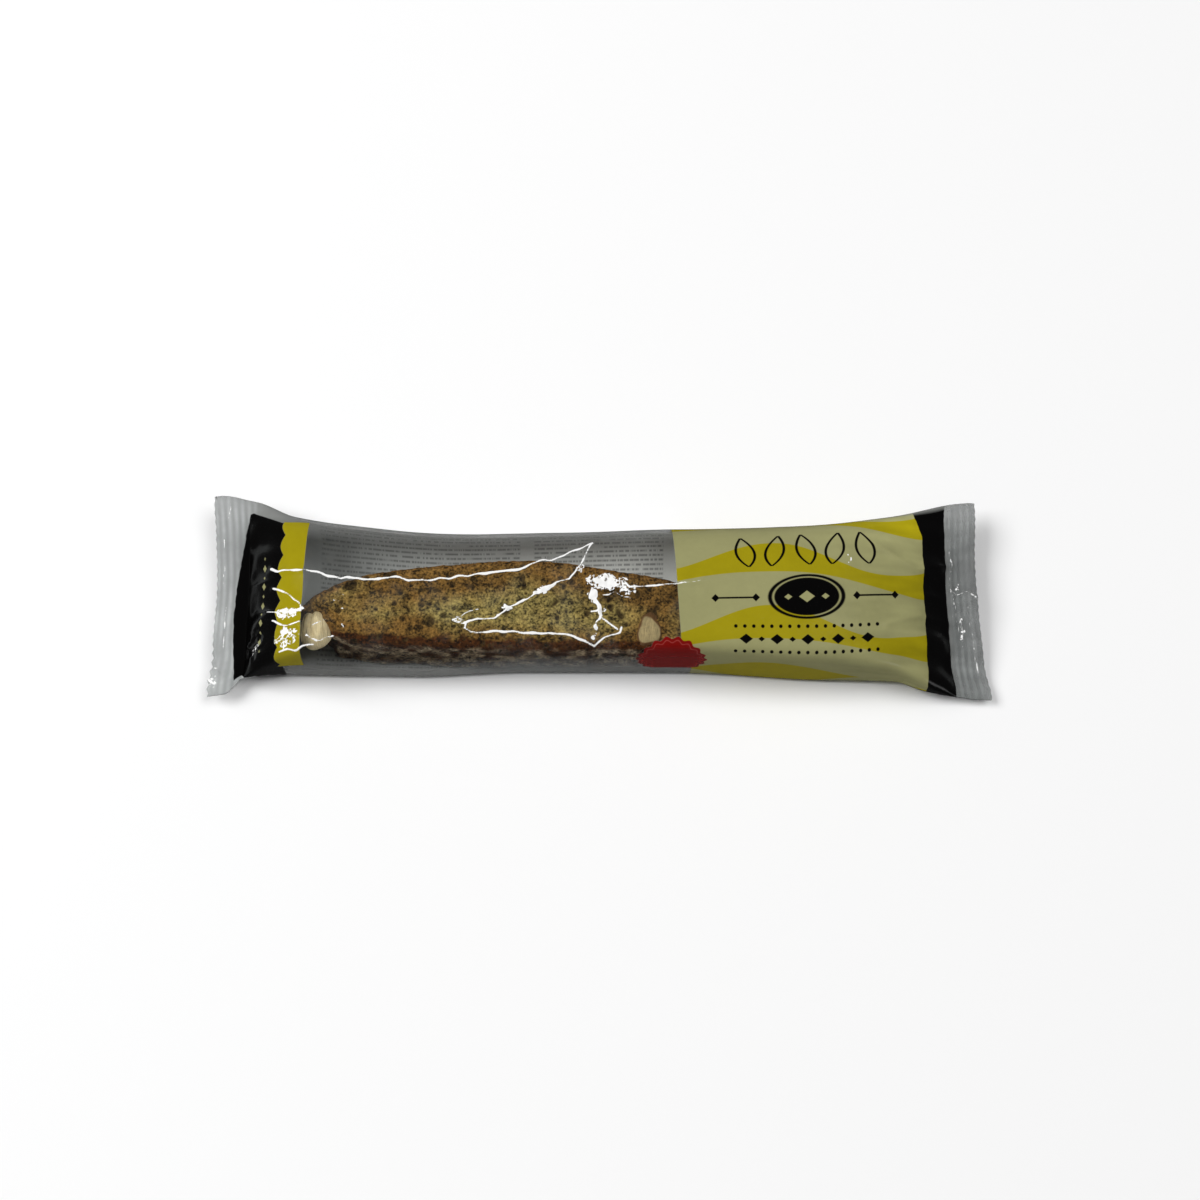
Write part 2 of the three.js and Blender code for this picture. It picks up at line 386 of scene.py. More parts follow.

# %% [markdown]
# ## Creases
# Thin film doesn't stretch, so wherever it is slack it folds along sharp lines, and the sharp crest of a fold
# catches the light in a thin bright line, which here is a painted highlight. Noise alone could crinkle the
# film, but the long creases give the pack its look, so they are given as a few points seen from above.
# A crease is a low ridge: its height falls off with the distance to that line of points. Each point of the
# film also gets a `glint`, the distance in millimetres that it lies inside the painted highlight along a
# crest. A distance blends evenly between mesh points, so the finish can cut it off in a line that is crisper
# than the mesh. Where creases meet, the film is crumpled into facets. There each point gets the share of
# `facets` that get a painted highlight, and the finish picks them.

# %% Crease lines
# Height of the ridge, half width of the painted highlight on its crest, blotchiness, points seen from above
CREASES = {
    "upper": (0.55, 0.24, 0.12, [
        (-78.1, 4.0), (-75.8, 2.3), (-69.3, 1.3), (-60.8, -0.7), (-59.2, -0.4), (-52.9, -0.9), (-47.7, -0.1),
        (-44.6, -1.3), (-38.3, -0.8), (-28.3, 0.6), (-18.9, 2.0), (-14.2, 4.2), (-11.5, 4.3), (-1.7, 9.3)]),
    "slant_back": (0.6, 0.2, 0.2, [(-1.7, 9.3), (-3.1, 6.6), (-4.5, 3.2), (-6.9, -0.2), (-10.3, -1.3)]),
    "slant_front": (0.6, 0.24, 0.6, [
        (-10.3, -1.3), (-13.1, -2.7), (-17.3, -5.9), (-21.0, -7.6), (-24.6, -10.2), (-28.3, -10.7),
        (-30.9, -11.7)]),
    "slant_wide": (0.5, 0.5, 0.4, [(-15.2, -4.0), (-13.6, -3.5), (-12.2, -2.7)]),
    "slant_narrow": (0.4, 0.3, 0.3, [(-12.2, -2.7), (-10.4, -1.5)]),
    "slant_knot": (0.4, 0.34, 0.4, [(-21.8, -7.4), (-20.4, -7.8)]),
    "tip_back": (0.45, 0.16, 0.1, [(-34.2, -11.0), (-32.1, -9.8), (-30.1, -8.7), (-28.2, -8.1)]),
    "tip_front": (0.4, 0.19, 0.1, [(-34.2, -11.0), (-32.7, -11.6), (-31.0, -11.9)]),
    "tip_between": (0.35, 0.14, 0.1, [(-32.1, -9.8), (-31.7, -10.9), (-31.0, -11.9)]),
    "lower": (0.55, 0.22, 0.12, [
        (-30.9, -12.0), (-31.3, -13.1), (-30.0, -13.7), (-24.6, -13.5), (-12.6, -13.7), (-7.9, -14.1),
        (-3.3, -15.1), (-1.0, -16.1), (1.6, -14.4), (4.7, -13.3), (5.3, -12.2)]),
    "knee": (0.5, 0.2, 0.15, [
        (-1.6, -2.5), (-2.1, -5.0), (-0.5, -6.6), (0.5, -10.0), (1.6, -10.6), (4.2, -12.5)]),
    "knee_wide": (0.4, 0.36, 0.5, [(-1.0, -3.2), (-1.0, -5.4), (0.2, -7.2), (0.7, -9.4)]),
    "knee_spur": (0.3, 0.2, 0.4, [(-1.7, -8.5), (0.3, -8.0)]),
    "knee_fork": (0.3, 0.22, 0.3, [(0.7, -10.0), (-0.7, -11.2)]),
    "knee_blob": (0.3, 0.46, 0.2, [(-0.9, -12.2), (-0.6, -12.6)]),
    "foot_blob": (0.3, 0.46, 0.2, [(-1.6, -14.5), (-1.2, -14.8)]),
    "under_peak": (0.3, 0.12, 0.25, [(0.8, -4.3), (2.2, -4.2), (3.5, -3.5), (5.2, -4.6), (7.2, -4.8)]),
    "knee_foot": (0.35, 0.1, 0.15, [(0.5, -10.0), (-0.5, -11.0), (-1.0, -13.2), (-1.3, -15.4)]),
    "towards_panel": (0.5, 0.24, 0.0, [(5.8, -0.5), (7.3, -2.1), (13.1, -2.0), (17.3, -1.6)]),
    "panel_tail": (0.4, 0.15, 0.0, [(17.3, -1.6), (20.8, -1.0)]),
    "panel_tip": (0.3, 0.08, 0.0, [(20.8, -1.0), (24.1, -0.3)]),
    "strip_back": (0.4, 0.18, 0.1, [(-77.0, -1.4), (-73.6, -3.4), (-70.6, -6.4), (-69.2, -8.2)]),
    "strip_middle": (0.4, 0.16, 0.5, [(-78.4, -7.1), (-75.2, -8.1), (-72.0, -8.8), (-69.8, -8.5)]),
    "strip_loop": (0.35, 0.18, 0.3, [(-76.6, -9.8), (-73.2, -11.8), (-69.8, -11.1)]),
    "strip_front": (0.35, 0.18, 0.3, [(-74.5, -17.4), (-70.7, -17.5), (-69.3, -17.0), (-66.6, -16.7)]),
    "end_glint": (0.15, 0.2, 0.2, [(-59.8, -12.0), (-59.3, -12.5)]),
    "nut_upper": (0.25, 0.07, 0.1, [(-68.1, -13.2), (-66.7, -12.5), (-63.8, -11.0)]),
    "nut_lower": (0.3, 0.15, 0.4, [(-68.3, -14.7), (-66.6, -15.5), (-64.8, -16.0), (-61.7, -14.9)]),
    "left_fin_corner": (0.1, 0.12, 0.0, [(-90.2, 23.0), (-90.4, 19.5)]),
    "left_fin_back": (0.1, 0.11, 0.1, [(-91.4, 14.0), (-91.0, 9.0), (-91.2, 3.0)]),
    "left_fin_front": (0.1, 0.13, 0.1, [(-90.0, -3.0), (-89.8, -8.0), (-90.0, -13.0)]),
    "right_fin_inner": (0.2, 0.05, 0.3, [(84.4, 15.0), (85.0, 9.0), (84.7, 4.0), (85.4, -1.0), (86.6, -8.0)]),
    "right_fin_knot": (0.2, 0.1, 0.3, [(84.8, 3.0), (86.2, 1.4), (88.4, 2.2), (90.6, 1.0)]),
    "right_fin_middle": (0.15, 0.06, 0.14, [(88.6, 3.5), (89.0, -4.0), (89.8, -10.0), (90.8, -17.0)]),
    "panel_glint": (0.2, 0.2, 0.1, [(58.9, 7.2), (59.5, 6.1), (59.0, 5.2)]),
    "panel_end": (0.4, -0.3, 0.0, [(68.0, -9.0), (77.0, -5.0), (86.0, -6.0)]),
    "panel_end_back": (0.4, -0.3, 0.0, [(66.0, 11.0), (76.0, 6.0), (86.0, 9.0)]),
}
# Middle, half sizes, share that gets a painted highlight
SPARKLES = {
    "beside_peak": ((1.2, -0.8), (4.8, 2.4), 0.5),
    "peak_tail": ((6.0, -2.2), (4.0, 2.8), -0.05),
    "knee_top": ((-1.4, -4.2), (2.4, 3.2), -0.1),
    "knee_middle": ((0.2, -8.2), (3.0, 3.0), -0.15),
    "knee_low": ((-0.9, -13.4), (1.3, 3.4), -0.25),
    "slant_top": ((-4.6, 2.4), (1.8, 2.0), 0.0),
    "slant_blot": ((-13.2, -3.5), (3.6, 1.6), -0.2),
    "slant_foot": ((-21.0, -7.8), (2.6, 1.4), -0.25),
    "crease_tip": ((-32.4, -10.9), (2.6, 1.5), -0.1),
    "strip_blot": ((-73.8, -8.7), (4.8, 1.7), 0.2),
    "strip_low": ((-73.2, -14.2), (4.6, 3.4), 0.12),
    "end_spots": ((-62.0, -8.0), (5.0, 7.5), -0.36),
    "band_low": ((-82.0, -14.0), (3.6, 4.6), -0.36),
    "fin_knot": ((86.2, 1.5), (2.6, 5.5), -0.3),
    "fin_side": ((87.4, -8.0), (1.8, 9.0), -0.42),
    "fin_corner": ((-92.0, -20.5), (2.6, 4.6), -0.28),
}
print(len(CREASES), "creases and", len(SPARKLES), "crumpled patches")


# %% Crease shapes
WOBBLE_SIZE, WOBBLE = 2.2, 0.28
CREST_ROUND = 0.2
RIDGE_WIDTH = 0.9
CREST_SIZE, CREST_MEAN, CREST_SWING = 1.7, 0.9, 0.4
BLOTCH_SIZE, BLOTCH_RUN = 2.0, (0.25, 1.1)


def wobbled(plan):
    """Points shifted a little by noise, so that a straight crease runs with small kinks."""
    flat = level_points(plan)
    shift = [noise(flat, WOBBLE_SIZE, seed) for seed in (81, 82)]
    return plan + WOBBLE * np.stack(shift, axis=-1)


def distance_to(line, plan):
    """The distance from each point, seen from above, to the nearest stretch of a line of points."""
    nearest = np.full(plan.shape[:-1], np.inf)
    for start, end in zip(line[:-1], line[1:]):
        way = end - start
        share = np.clip(((plan - start) @ way) / (way @ way), 0, 1)
        nearest = np.minimum(nearest, np.linalg.norm(plan - start - share[..., None] * way, axis=-1))
    return nearest


def ridge(distance, height):
    """A roof with a slightly rounded crest: height times e to the minus distance over width."""
    return height * np.exp(-(np.hypot(distance, CREST_ROUND) - CREST_ROUND) / RIDGE_WIDTH)


def crest(distance, half_width, blotch, plan):
    """How far inside the painted highlight along a crest: its half width, which swells and shrinks by noise,
    and its blotches, less the distance."""
    flat = level_points(plan)
    swell = CREST_MEAN + CREST_SWING * noise(flat, CREST_SIZE, seed=41)
    blotches = ramp(rough(flat, BLOTCH_SIZE, seed=44), *BLOTCH_RUN)
    return half_width * swell + blotch * blotches - distance


def patch_share(plan, middle, half):
    """How far out in an oval patch each point is: 0 in the middle, 1 on its edge."""
    return np.linalg.norm((plan - np.array(middle)) / np.array(half), axis=-1)


# %% Fold the film
SLACK_HEIGHT, SLACK_SIZE, SLACK_RUN = 0.16, 15.0, (0, 6)
CRUMPLE_SIZE, CRUMPLE_HEIGHT, CRUMPLE_RUN = 1.2, 0.28, (0.5, 1.1)
RAGGED, RAGGED_SIZE = 0.34, 1.5
NO_GLINT = -1.0
# Columns beside the long edges over which the folds fade out, the edge of the welded film, the highest fold
FADE_COLUMNS, WELD_EDGE, FOLD_LIMIT = (2, 22), 1, 1.2


def sheet_normals(sheet):
    """The cross product of the steps along and across the sheet, made one long."""
    return unit(np.cross(np.gradient(sheet, axis=0), np.gradient(sheet, axis=1)))


plan = wobbled(top[..., :2])
plan_points = level_points(plan)
fold = np.zeros(top.shape[:2])
glint = np.full(top.shape[:2], NO_GLINT)
facets = np.full(top.shape[:2], NO_GLINT)
for height, half_width, blotch, points in CREASES.values():
    distance = distance_to(np.array(points, float), plan)
    fold = np.maximum(fold, ridge(distance, height))
    glint = np.maximum(glint, crest(distance, half_width, blotch, plan))
crumple = CRUMPLE_HEIGHT * rough(plan_points, CRUMPLE_SIZE, seed=48)
ragged = RAGGED * rough(plan_points, RAGGED_SIZE, seed=47, layers=2)
for middle, half, cover in SPARKLES.values():
    share = patch_share(plan, middle, half)
    fold = fold + crumple * (1 - ramp(share, *CRUMPLE_RUN))
    facets = np.maximum(facets, cover - share**2 + ragged)
slack = SLACK_HEIGHT * rough(top * (1, 1, 0), SLACK_SIZE, seed=7, layers=2) * ramp(inside, *SLACK_RUN)
columns = np.arange(TOP_COLUMNS + 1)
edge_fade = ramp(np.minimum(columns, TOP_COLUMNS - columns), *FADE_COLUMNS)
outwards_only = np.where(inside > WELD_EDGE, fold, np.maximum(fold, 0))
top = top + sheet_normals(top) * ((outwards_only + slack) * edge_fade)[..., None]
top[..., 2] = np.minimum(top[..., 2], PACK_HEIGHT + FOLD_LIMIT)
print(f"film top at {top[..., 2].max():.2f} mm, {np.mean(glint > 0):.1%} of the upper sheet glints")

# %% [markdown]
# ## Joining the two sheets
# The wrap is one closed skin. Two loose sheets would be simpler, but they would part along their edges. The
# upper sheet shows most, so it has four columns for each one of the lower. They share the two long edges and
# the cut ends: there the lower sheet's last faces take in every point of the upper sheet's end, so no gap is
# left.

# %% Film piece
rows = len(station)
top_index = point_numbers(top)
under_index = np.full((rows, UNDER_COLUMNS + 1), -1)
under_index[:, 0] = top_index[:, 0]
under_index[:, -1] = top_index[:, -1]
under_index[[0, -1]] = top_index[[0, -1], ::COLUMN_RATIO]
inner_shape = under_index[1:-1, 1:-1].shape
under_index[1:-1, 1:-1] = top_index.size + np.arange(inner_shape[0] * inner_shape[1]).reshape(inner_shape)


def end_faces(end_row, inner_row, flip):
    """Faces of the lower sheet at a cut end: two points inside, and all the upper sheet's points outside."""
    faces = []
    for column in range(UNDER_COLUMNS):
        outer = list(top_index[end_row, column * COLUMN_RATIO:(column + 1) * COLUMN_RATIO + 1])
        face = [under_index[inner_row, column + 1], under_index[inner_row, column]] + outer
        faces.append([int(number) for number in (face[::-1] if flip else face)])
    return faces


film_faces = grid_faces(top_index) + grid_faces(under_index[1:-1, ::-1])
film_faces += end_faces(0, 1, True) + end_faces(-1, -2, False)
film_points = np.concatenate([top.reshape(-1, 3), under[1:-1, 1:-1].reshape(-1, 3)])


def on_film(top_values, under_values):
    """One value for each film point: all of the upper sheet's, then the lower sheet's inner ones."""
    return np.concatenate([top_values.ravel(), under_values[1:-1, 1:-1].ravel()])


UNDER_SIDE = -1
top_blank, under_blank = np.zeros(top.shape[:2]), np.zeros(under.shape[:2])
top_across = top_blank + np.linspace(0, FLAT_WIDTH, TOP_COLUMNS + 1)
under_across = under_blank + np.linspace(0, FLAT_WIDTH, UNDER_COLUMNS + 1)
top_side = np.minimum(1, np.minimum(top_across, FLAT_WIDTH - top_across))
film_values = {
    "along": on_film(top_blank + station, under_blank + station),
    "across": on_film(top_across, under_across),
    "side": on_film(top_side, under_blank + UNDER_SIDE),
    "glint": on_film(glint, under_blank + NO_GLINT),
    "facets": on_film(np.maximum(facets, NO_GLINT), under_blank + NO_GLINT),
}
film = make_piece("film_wrap", film_points, film_faces, film_values)
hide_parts(PACK_NODE)

# %% [markdown]
# ## The back seam
# The tube is closed along its back by a lap of film that lies flat against the pack. It could be a fold in
# the lower sheet, but that sheet's even grid would have to break for it. So it is a strip of its own that
# follows the lower sheet a hair outside it, from one seal to the other, where the jaws weld it in.

# %% Back seam piece
SEAM_WIDTH, SEAM_MIDDLE, SEAM_GAP, SEAM_FLOOR = 10.0, -1.0, 0.08, 0.05
SEAM_COLUMNS = 16
ROW_SHIFT = 200


def seam_strip():
    """Reads the lower sheet's height at even places across the strip, and drops it by a small gap. The rows
    are laid end to end, as for the even steps, so one interpolation serves them all."""
    across = SEAM_MIDDLE + SEAM_WIDTH * (np.linspace(0, 1, SEAM_COLUMNS + 1) - 0.5)
    shift = ROW_SHIFT * np.arange(rows)[:, None]
    have = (under[..., 1] + shift).ravel()
    want = (across[None, :] + shift).ravel()
    shape = (rows, SEAM_COLUMNS + 1)
    along = np.interp(want, have, under[..., 0].ravel()).reshape(shape)
    height = np.interp(want, have, under[..., 2].ravel()).reshape(shape)
    height = np.maximum(height - SEAM_GAP, SEAM_FLOOR)
    return np.stack(np.broadcast_arrays(along, across[None, :], height), axis=-1)


between_seals = inside[:, 0] > 0
seam_points = seam_strip()[between_seals]
seam_blank = np.zeros(seam_points.shape[:2])
seam_values = {
    "along": seam_blank + station[between_seals],
    "across": seam_points[..., 1] + FLAT_WIDTH / 2,
    "side": seam_blank + UNDER_SIDE,
    "glint": seam_blank + NO_GLINT,
    "facets": seam_blank + NO_GLINT,
}
seam_faces = grid_faces(point_numbers(seam_points)[:, ::-1])
seam = make_piece("back_seam", seam_points, seam_faces, seam_values)

# %% [markdown]
# ## The biscotto
# A biscotto is a slice of a baked log: two flat cut faces full of small pores, a domed crust along one side
# and a flat, darker crust along the other. It lies with a cut face up. A box could be sculpted into that,
# but the pores need small, even faces all over. So the outline is drawn from above, and at each place along
# it a squarish ring with even steps gives the thickness. Extra rings shrink to a point to close the two ends.
# The left end is broken at a slant, which leaves room for the nut that sticks out of it.

# %% Biscotto rings
BISCUIT_FLOOR, BISCUIT_TOP = 0.45, 16.2
DOME_OUTLINE = [
    (-71, -5.8), (-67.1, -2.9), (-62, -0.3), (-54.7, 2.6), (-40.7, 4.5), (-26.3, 6.0), (-16.8, 6.5),
    (-8, 5.9), (4.8, 3.6), (17.2, 1.5), (28, -2.8), (34, -6.2), (38, -9.2),
]
BASE_OUTLINE = [(-71, -14), (-66, -14.8), (-50, -15.7), (-20, -16.4), (10, -16.4), (32, -16.4), (38, -15.4)]
BISCUIT_ROWS, CAP_ROWS = 330, 16
RING_SQUARENESS = 11
RING_STEPS, RING_POINTS = 1600, 208
biscuit_left, biscuit_right = DOME_OUTLINE[0][0], DOME_OUTLINE[-1][0]
END_BULGE, END_ROUNDNESS, SMALLEST_RING = 2.2, 0.35, 1e-3
END_SLANT, SLANT_BACK, SLANT_FRONT, SLANT_REACH = 9.5, -4.5, -13.0, 22.0


def biscuit_stations():
    """Places along the biscotto and the size of the ring there: full size between the ends, and then a
    quarter turn at each end, in which the ring shrinks by a power of the cosine while it moves out by the
    bulge times the sine."""
    turn = np.linspace(0, np.pi / 2, CAP_ROWS + 1)[1:]
    shrink = np.cos(turn) ** END_ROUNDNESS
    middle = np.linspace(biscuit_left, biscuit_right, BISCUIT_ROWS + 1)
    out = END_BULGE * np.sin(turn)
    place = np.concatenate([(biscuit_left - out)[::-1], middle, biscuit_right + out])
    size = np.concatenate([shrink[::-1], np.ones(BISCUIT_ROWS + 1), shrink])
    return place[:, None], np.where(size < SMALLEST_RING, 0, size)[:, None]


def biscuit_rings():
    """Superellipses that run round the slice, through its dome, top, base and underside. Towards the left
    end the front of each ring is shifted inwards by the slant."""
    place, size = biscuit_stations()
    held = np.clip(place, biscuit_left, biscuit_right)
    dome = line_through(DOME_OUTLINE, held)
    base = line_through(BASE_OUTLINE, held)
    angle = np.linspace(0, 2 * np.pi, RING_STEPS + 1)[None, :]
    power = 2 / RING_SQUARENESS
    spread = np.sign(np.cos(angle)) * np.abs(np.cos(angle)) ** power
    rise = np.sign(np.sin(angle)) * np.abs(np.sin(angle)) ** power
    across = (dome + base) / 2 + (dome - base) / 2 * spread
    height = (BISCUIT_TOP + BISCUIT_FLOOR) / 2 + (BISCUIT_TOP - BISCUIT_FLOOR) / 2 * rise
    across, height = even_steps(across, height, RING_POINTS)
    across, height = across[:, :-1], height[:, :-1]
    across = mix(across.mean(1)[:, None], across, size)
    height = mix(height.mean(1)[:, None], height, size)
    towards_left = ramp(held, biscuit_left + SLANT_REACH, biscuit_left)
    slant = END_SLANT * ramp(across, SLANT_BACK, SLANT_FRONT) * towards_left
    return np.stack(np.broadcast_arrays(place + slant, across, height), axis=-1), held, dome, base


ring, ring_place, dome_edge, base_edge = biscuit_rings()
print("biscotto rings", ring.shape, f"{biscuit_right - biscuit_left + 2 * END_BULGE:.0f} mm long")

# %% [markdown]
# ## Crumb and crust
# Cutting a warm log tears its crumb, so the cut faces have pores of several sizes and a grainy surface, while
# the crust is only finely rough. A bump in the material could draw the pores, but they would cast no shadow
# under a low light, so they are pressed into the mesh. A point's `crust` value, 1 at the rim and 0 in the
# crumb, steers both the relief here and the browning in the material.

# %% Crumb relief
# Size of a cell, depth of its pit, share of the cells that have one
PORE_LAYERS = [(4.6, 0.9, 0.75), (2.4, 0.7, 0.7), (1.3, 0.4, 0.6)]
FIRST_PORE_SEED, PORE_SEED_STEP = 60, 10
CRUST_PORES = 0.35
GRAIN_SIZE, GRAIN_HEIGHT, CRUST_GRAIN = 1.2, 0.2, 0.8
LUMP_SIZE, LUMP_HEIGHT, LUMP_EVENED = 9.0, 0.45, 0.6
# Middle seen from above and half sizes of the largest pits in the upper face
LARGE_PITS = [
    ((-61.5, -7.2), (0.8, 0.7)), ((-56.5, -3.7), (0.7, 0.5)), ((-54.1, 0.2), (0.4, 0.3)),
    ((-52.6, -6.7), (0.5, 0.4)), ((-48.3, -5.1), (0.7, 0.8)), ((-46.2, -9.2), (0.5, 0.8)),
    ((-40.0, -2.1), (0.4, 0.4)), ((-40.0, -5.3), (0.6, 0.5)), ((-38.0, -6.5), (0.7, 0.4)),
    ((-36.4, -3.9), (0.7, 0.4)), ((-36.2, 2.2), (0.6, 0.5)), ((-30.0, -1.1), (0.4, 0.6)),
    ((-21.5, -2.8), (0.4, 0.3)), ((-17.9, -0.4), (0.7, 1.4)), ((-13.0, 3.9), (0.4, 0.3)),
    ((-13.8, -10.7), (0.3, 0.3)), ((-10.4, -3.8), (0.4, 0.3)), ((-8.4, -3.8), (0.4, 0.4)),
    ((-9.7, -9.6), (0.4, 0.3)), ((-23.9, -13.7), (0.5, 0.4)),
]
LARGE_PIT_DEPTH, LARGE_PIT_RUN, LARGE_PIT_UPRIGHT = 0.85, (0.5, 1.2), 0.5
LARGE_PIT_BEND, LARGE_PIT_BEND_SIZE = 0.3, 0.8


def ring_normals(ring):
    """Outward directions: the cross product of the steps round the ring and along the biscotto."""
    around = np.roll(ring, -1, axis=1) - np.roll(ring, 1, axis=1)
    return unit(np.cross(around, np.gradient(ring, axis=0)))


def large_pits(points):
    """1 inside an oval and 0 outside it, with an edge that noise bends."""
    deepest = np.zeros(points.shape[:-1])
    bend = LARGE_PIT_BEND * rough(points, LARGE_PIT_BEND_SIZE, seed=95, layers=2)
    for middle, half in LARGE_PITS:
        share = patch_share(points[..., :2], middle, half) + bend
        deepest = np.maximum(deepest, 1 - ramp(share, *LARGE_PIT_RUN))
    return deepest


# %% Crust and heart
FLAT_RUN = (0.45, 0.85)
END_MARGIN, RIM_WOBBLE, RIM_WOBBLE_SIZE, CRUST_RUN = 1.0, 0.7, 4.0, (0.2, 2.6)
DOME_SHARE, HEART_WOBBLE, HEART_WOBBLE_SIZE = 0.7, 2.4, 9.0
outward = ring_normals(ring)
flatness = ramp(np.abs(outward[..., 2]), *FLAT_RUN)
to_dome = dome_edge - ring[..., 1]
to_base = ring[..., 1] - base_edge
to_ends = np.minimum(ring_place - biscuit_left, biscuit_right - ring_place) + END_MARGIN
to_rim = np.minimum(np.minimum(to_dome, to_base), to_ends)
to_rim = to_rim + RIM_WOBBLE * noise(ring, RIM_WOBBLE_SIZE, seed=50)
to_heart = np.minimum(to_rim, DOME_SHARE * to_dome) + HEART_WOBBLE * noise(ring, HEART_WOBBLE_SIZE, seed=53)
crust = np.maximum(1 - ramp(to_rim, *CRUST_RUN), 1 - flatness)
print(f"crumb on {np.mean(crust < 0.5):.0%} of the points")

# %% Press the relief in
FLOOR_CLEARANCE, TOP_MARGIN = 0.3, 0.2
relief = LUMP_HEIGHT * noise(ring, LUMP_SIZE, seed=31) * (1 - LUMP_EVENED * flatness)
relief = relief + GRAIN_HEIGHT * rough(ring, GRAIN_SIZE, seed=33) * mix(1.0, CRUST_GRAIN, crust)
pore_depth = LARGE_PIT_DEPTH * large_pits(ring) * (outward[..., 2] > LARGE_PIT_UPRIGHT)
for layer, (size, depth, fill) in enumerate(PORE_LAYERS):
    pits = pores(ring, size, FIRST_PORE_SEED + PORE_SEED_STEP * layer, fill)
    pore_depth = np.maximum(pore_depth, depth * pits)
relief = relief - pore_depth * mix(1.0, CRUST_PORES, crust)
at_tip = np.isclose(np.linalg.norm(ring - np.roll(ring, 1, axis=1), axis=-1).sum(1), 0)
ring = ring + outward * np.where(at_tip[:, None], 0, relief)[..., None]
ring[..., 2] = np.clip(ring[..., 2], FLOOR_CLEARANCE, BISCUIT_TOP + TOP_MARGIN)
print(f"pores up to {pore_depth.max():.2f} mm deep")

# %% Biscotto piece
WALL_WOBBLE, WALL_WOBBLE_SIZE, WALL_RUN = 0.4, 2.0, (-0.5, 0.3)
BASE_WOBBLE, BASE_WOBBLE_SIZE, BASE_RUN = 0.9, 4.0, (1.6, 3.4)
HEART_RUN, HEART_LOSS, HEART_LOSS_RUN = (2.0, 9.0), 0.8, (3.0, 18.0)
wall_distance = to_base + WALL_WOBBLE * noise(ring, WALL_WOBBLE_SIZE, seed=52)
base_distance = to_base + BASE_WOBBLE * rough(ring, BASE_WOBBLE_SIZE, seed=51)
biscuit_values = {
    "crust": crust,
    "pore": pore_depth / max(depth for _, depth, _ in PORE_LAYERS),
    "base_wall": 1 - ramp(wall_distance, *WALL_RUN),
    "base_rim": 1 - ramp(base_distance, *BASE_RUN),
    "heart": ramp(to_heart, *HEART_RUN) * (1 - HEART_LOSS * ramp(ring_place, *HEART_LOSS_RUN)),
}
biscuit_faces = closed_faces(closed_grid(ring)[:, ::-1])
biscotto = make_piece("biscotto", ring, biscuit_faces, biscuit_values)

# %% [markdown]
# ## Almonds
# Whole almonds are baked into the log, so the knife leaves pale cut nuts in the face, and one piece sticks
# out of the end. A scaled sphere could stand for a nut, but it has no point and no grain. So each is an
# egg-shaped surface, pointed at one end, with shallow grooves along it, and sunk into the biscotto.

# %% Almond pieces
NUT_ROWS, NUT_COLUMNS = 64, 88
# Name, middle, half sizes (long, wide, thick), heading, height of the flat cut, depth of the crack, browning
ALMONDS = [
    ("almond_end", (-67.0, -10.9, 13.6), (5.1, 3.75, 3.7), 97, 3.3, 0.16, 0.0),
    ("almond_cut", (11.8, -11.1, 14.5), (4.9, 3.5, 2.9), 82, 1.95, 0.0, 1.0),
]
NUT_POINTEDNESS = 0.22
GROOVE_COUNT, GROOVE_DEPTH = 9, 0.035
CRACK_PLACE, CRACK_WIDTH, CRACK_SWAY, CRACK_BENDS = 1.45, 0.13, 0.16, 3
NUT_LUMP, NUT_LUMP_SIZE = 0.5, 2.4
SKIN_RUN, CUT_DOME = (-0.28, 0.0), 0.12


def egg_shape(middle, half, crack):
    """Latitude and longitude on an egg: a sphere that narrows towards one end, grooved along its length by a
    cosine, split by a crack, stretched to the half sizes and made lumpy by noise."""
    tilt = np.linspace(0, np.pi, NUT_ROWS + 1)[:, None]
    turn = np.linspace(0, 2 * np.pi, NUT_COLUMNS, endpoint=False)[None, :]
    narrowing = 1 - NUT_POINTEDNESS * np.cos(tilt)
    groove = 1 - GROOVE_DEPTH * np.sin(tilt) * (0.5 + 0.5 * np.cos(GROOVE_COUNT * turn))
    wander = turn - CRACK_PLACE - CRACK_SWAY * np.sin(CRACK_BENDS * tilt)
    groove = groove - crack * np.exp(-(wander / CRACK_WIDTH) ** 2) * np.sin(tilt)
    radius = np.sin(tilt) * narrowing * groove
    egg = np.stack(np.broadcast_arrays(np.cos(tilt), radius * np.cos(turn), radius * np.sin(turn)), axis=-1)
    egg = egg * np.array(half)
    lumps = NUT_LUMP / max(half) * noise(egg + np.array(middle), NUT_LUMP_SIZE, seed=91)
    return egg * (1 + lumps)[..., None]


def almond(middle, half, heading, cut, crack):
    """An egg whose height over the cut is pressed nearly flat, turned to its heading and moved to its
    middle."""
    egg = egg_shape(middle, half, crack)
    over = egg[..., 2] - cut
    values = {"skin": ramp(-over, *SKIN_RUN), "lengthwise": egg[..., 0], "sideways": egg[..., 1]}
    height = np.where(over > 0, cut + CUT_DOME * over, egg[..., 2])
    cosine, sine = math.cos(math.radians(heading)), math.sin(math.radians(heading))
    along = egg[..., 0] * cosine - egg[..., 1] * sine
    across = egg[..., 0] * sine + egg[..., 1] * cosine
    return np.stack([along, across, height], axis=-1) + np.array(middle), values


nuts = []
for name, middle, half, heading, cut, crack, browning in ALMONDS:
    nut_points, nut_values = almond(middle, half, heading, cut, crack)
    nut_values["skin"] = nut_values["skin"] * browning
    nut_values["toasted"] = browning + 0 * nut_values["skin"]
    nut_faces = closed_faces(closed_grid(nut_points))
    nuts.append(make_piece(name, nut_points, nut_faces, nut_values))

# %% [markdown]
# ## Writing formulas as nodes
# A material's pattern is arithmetic on a point's place, and each step of it is a Math node. The nodes could
# be added and linked one by one, but then the formula is hard to see. So `Field` wraps a node socket, and
# plain Python arithmetic on it adds the nodes.

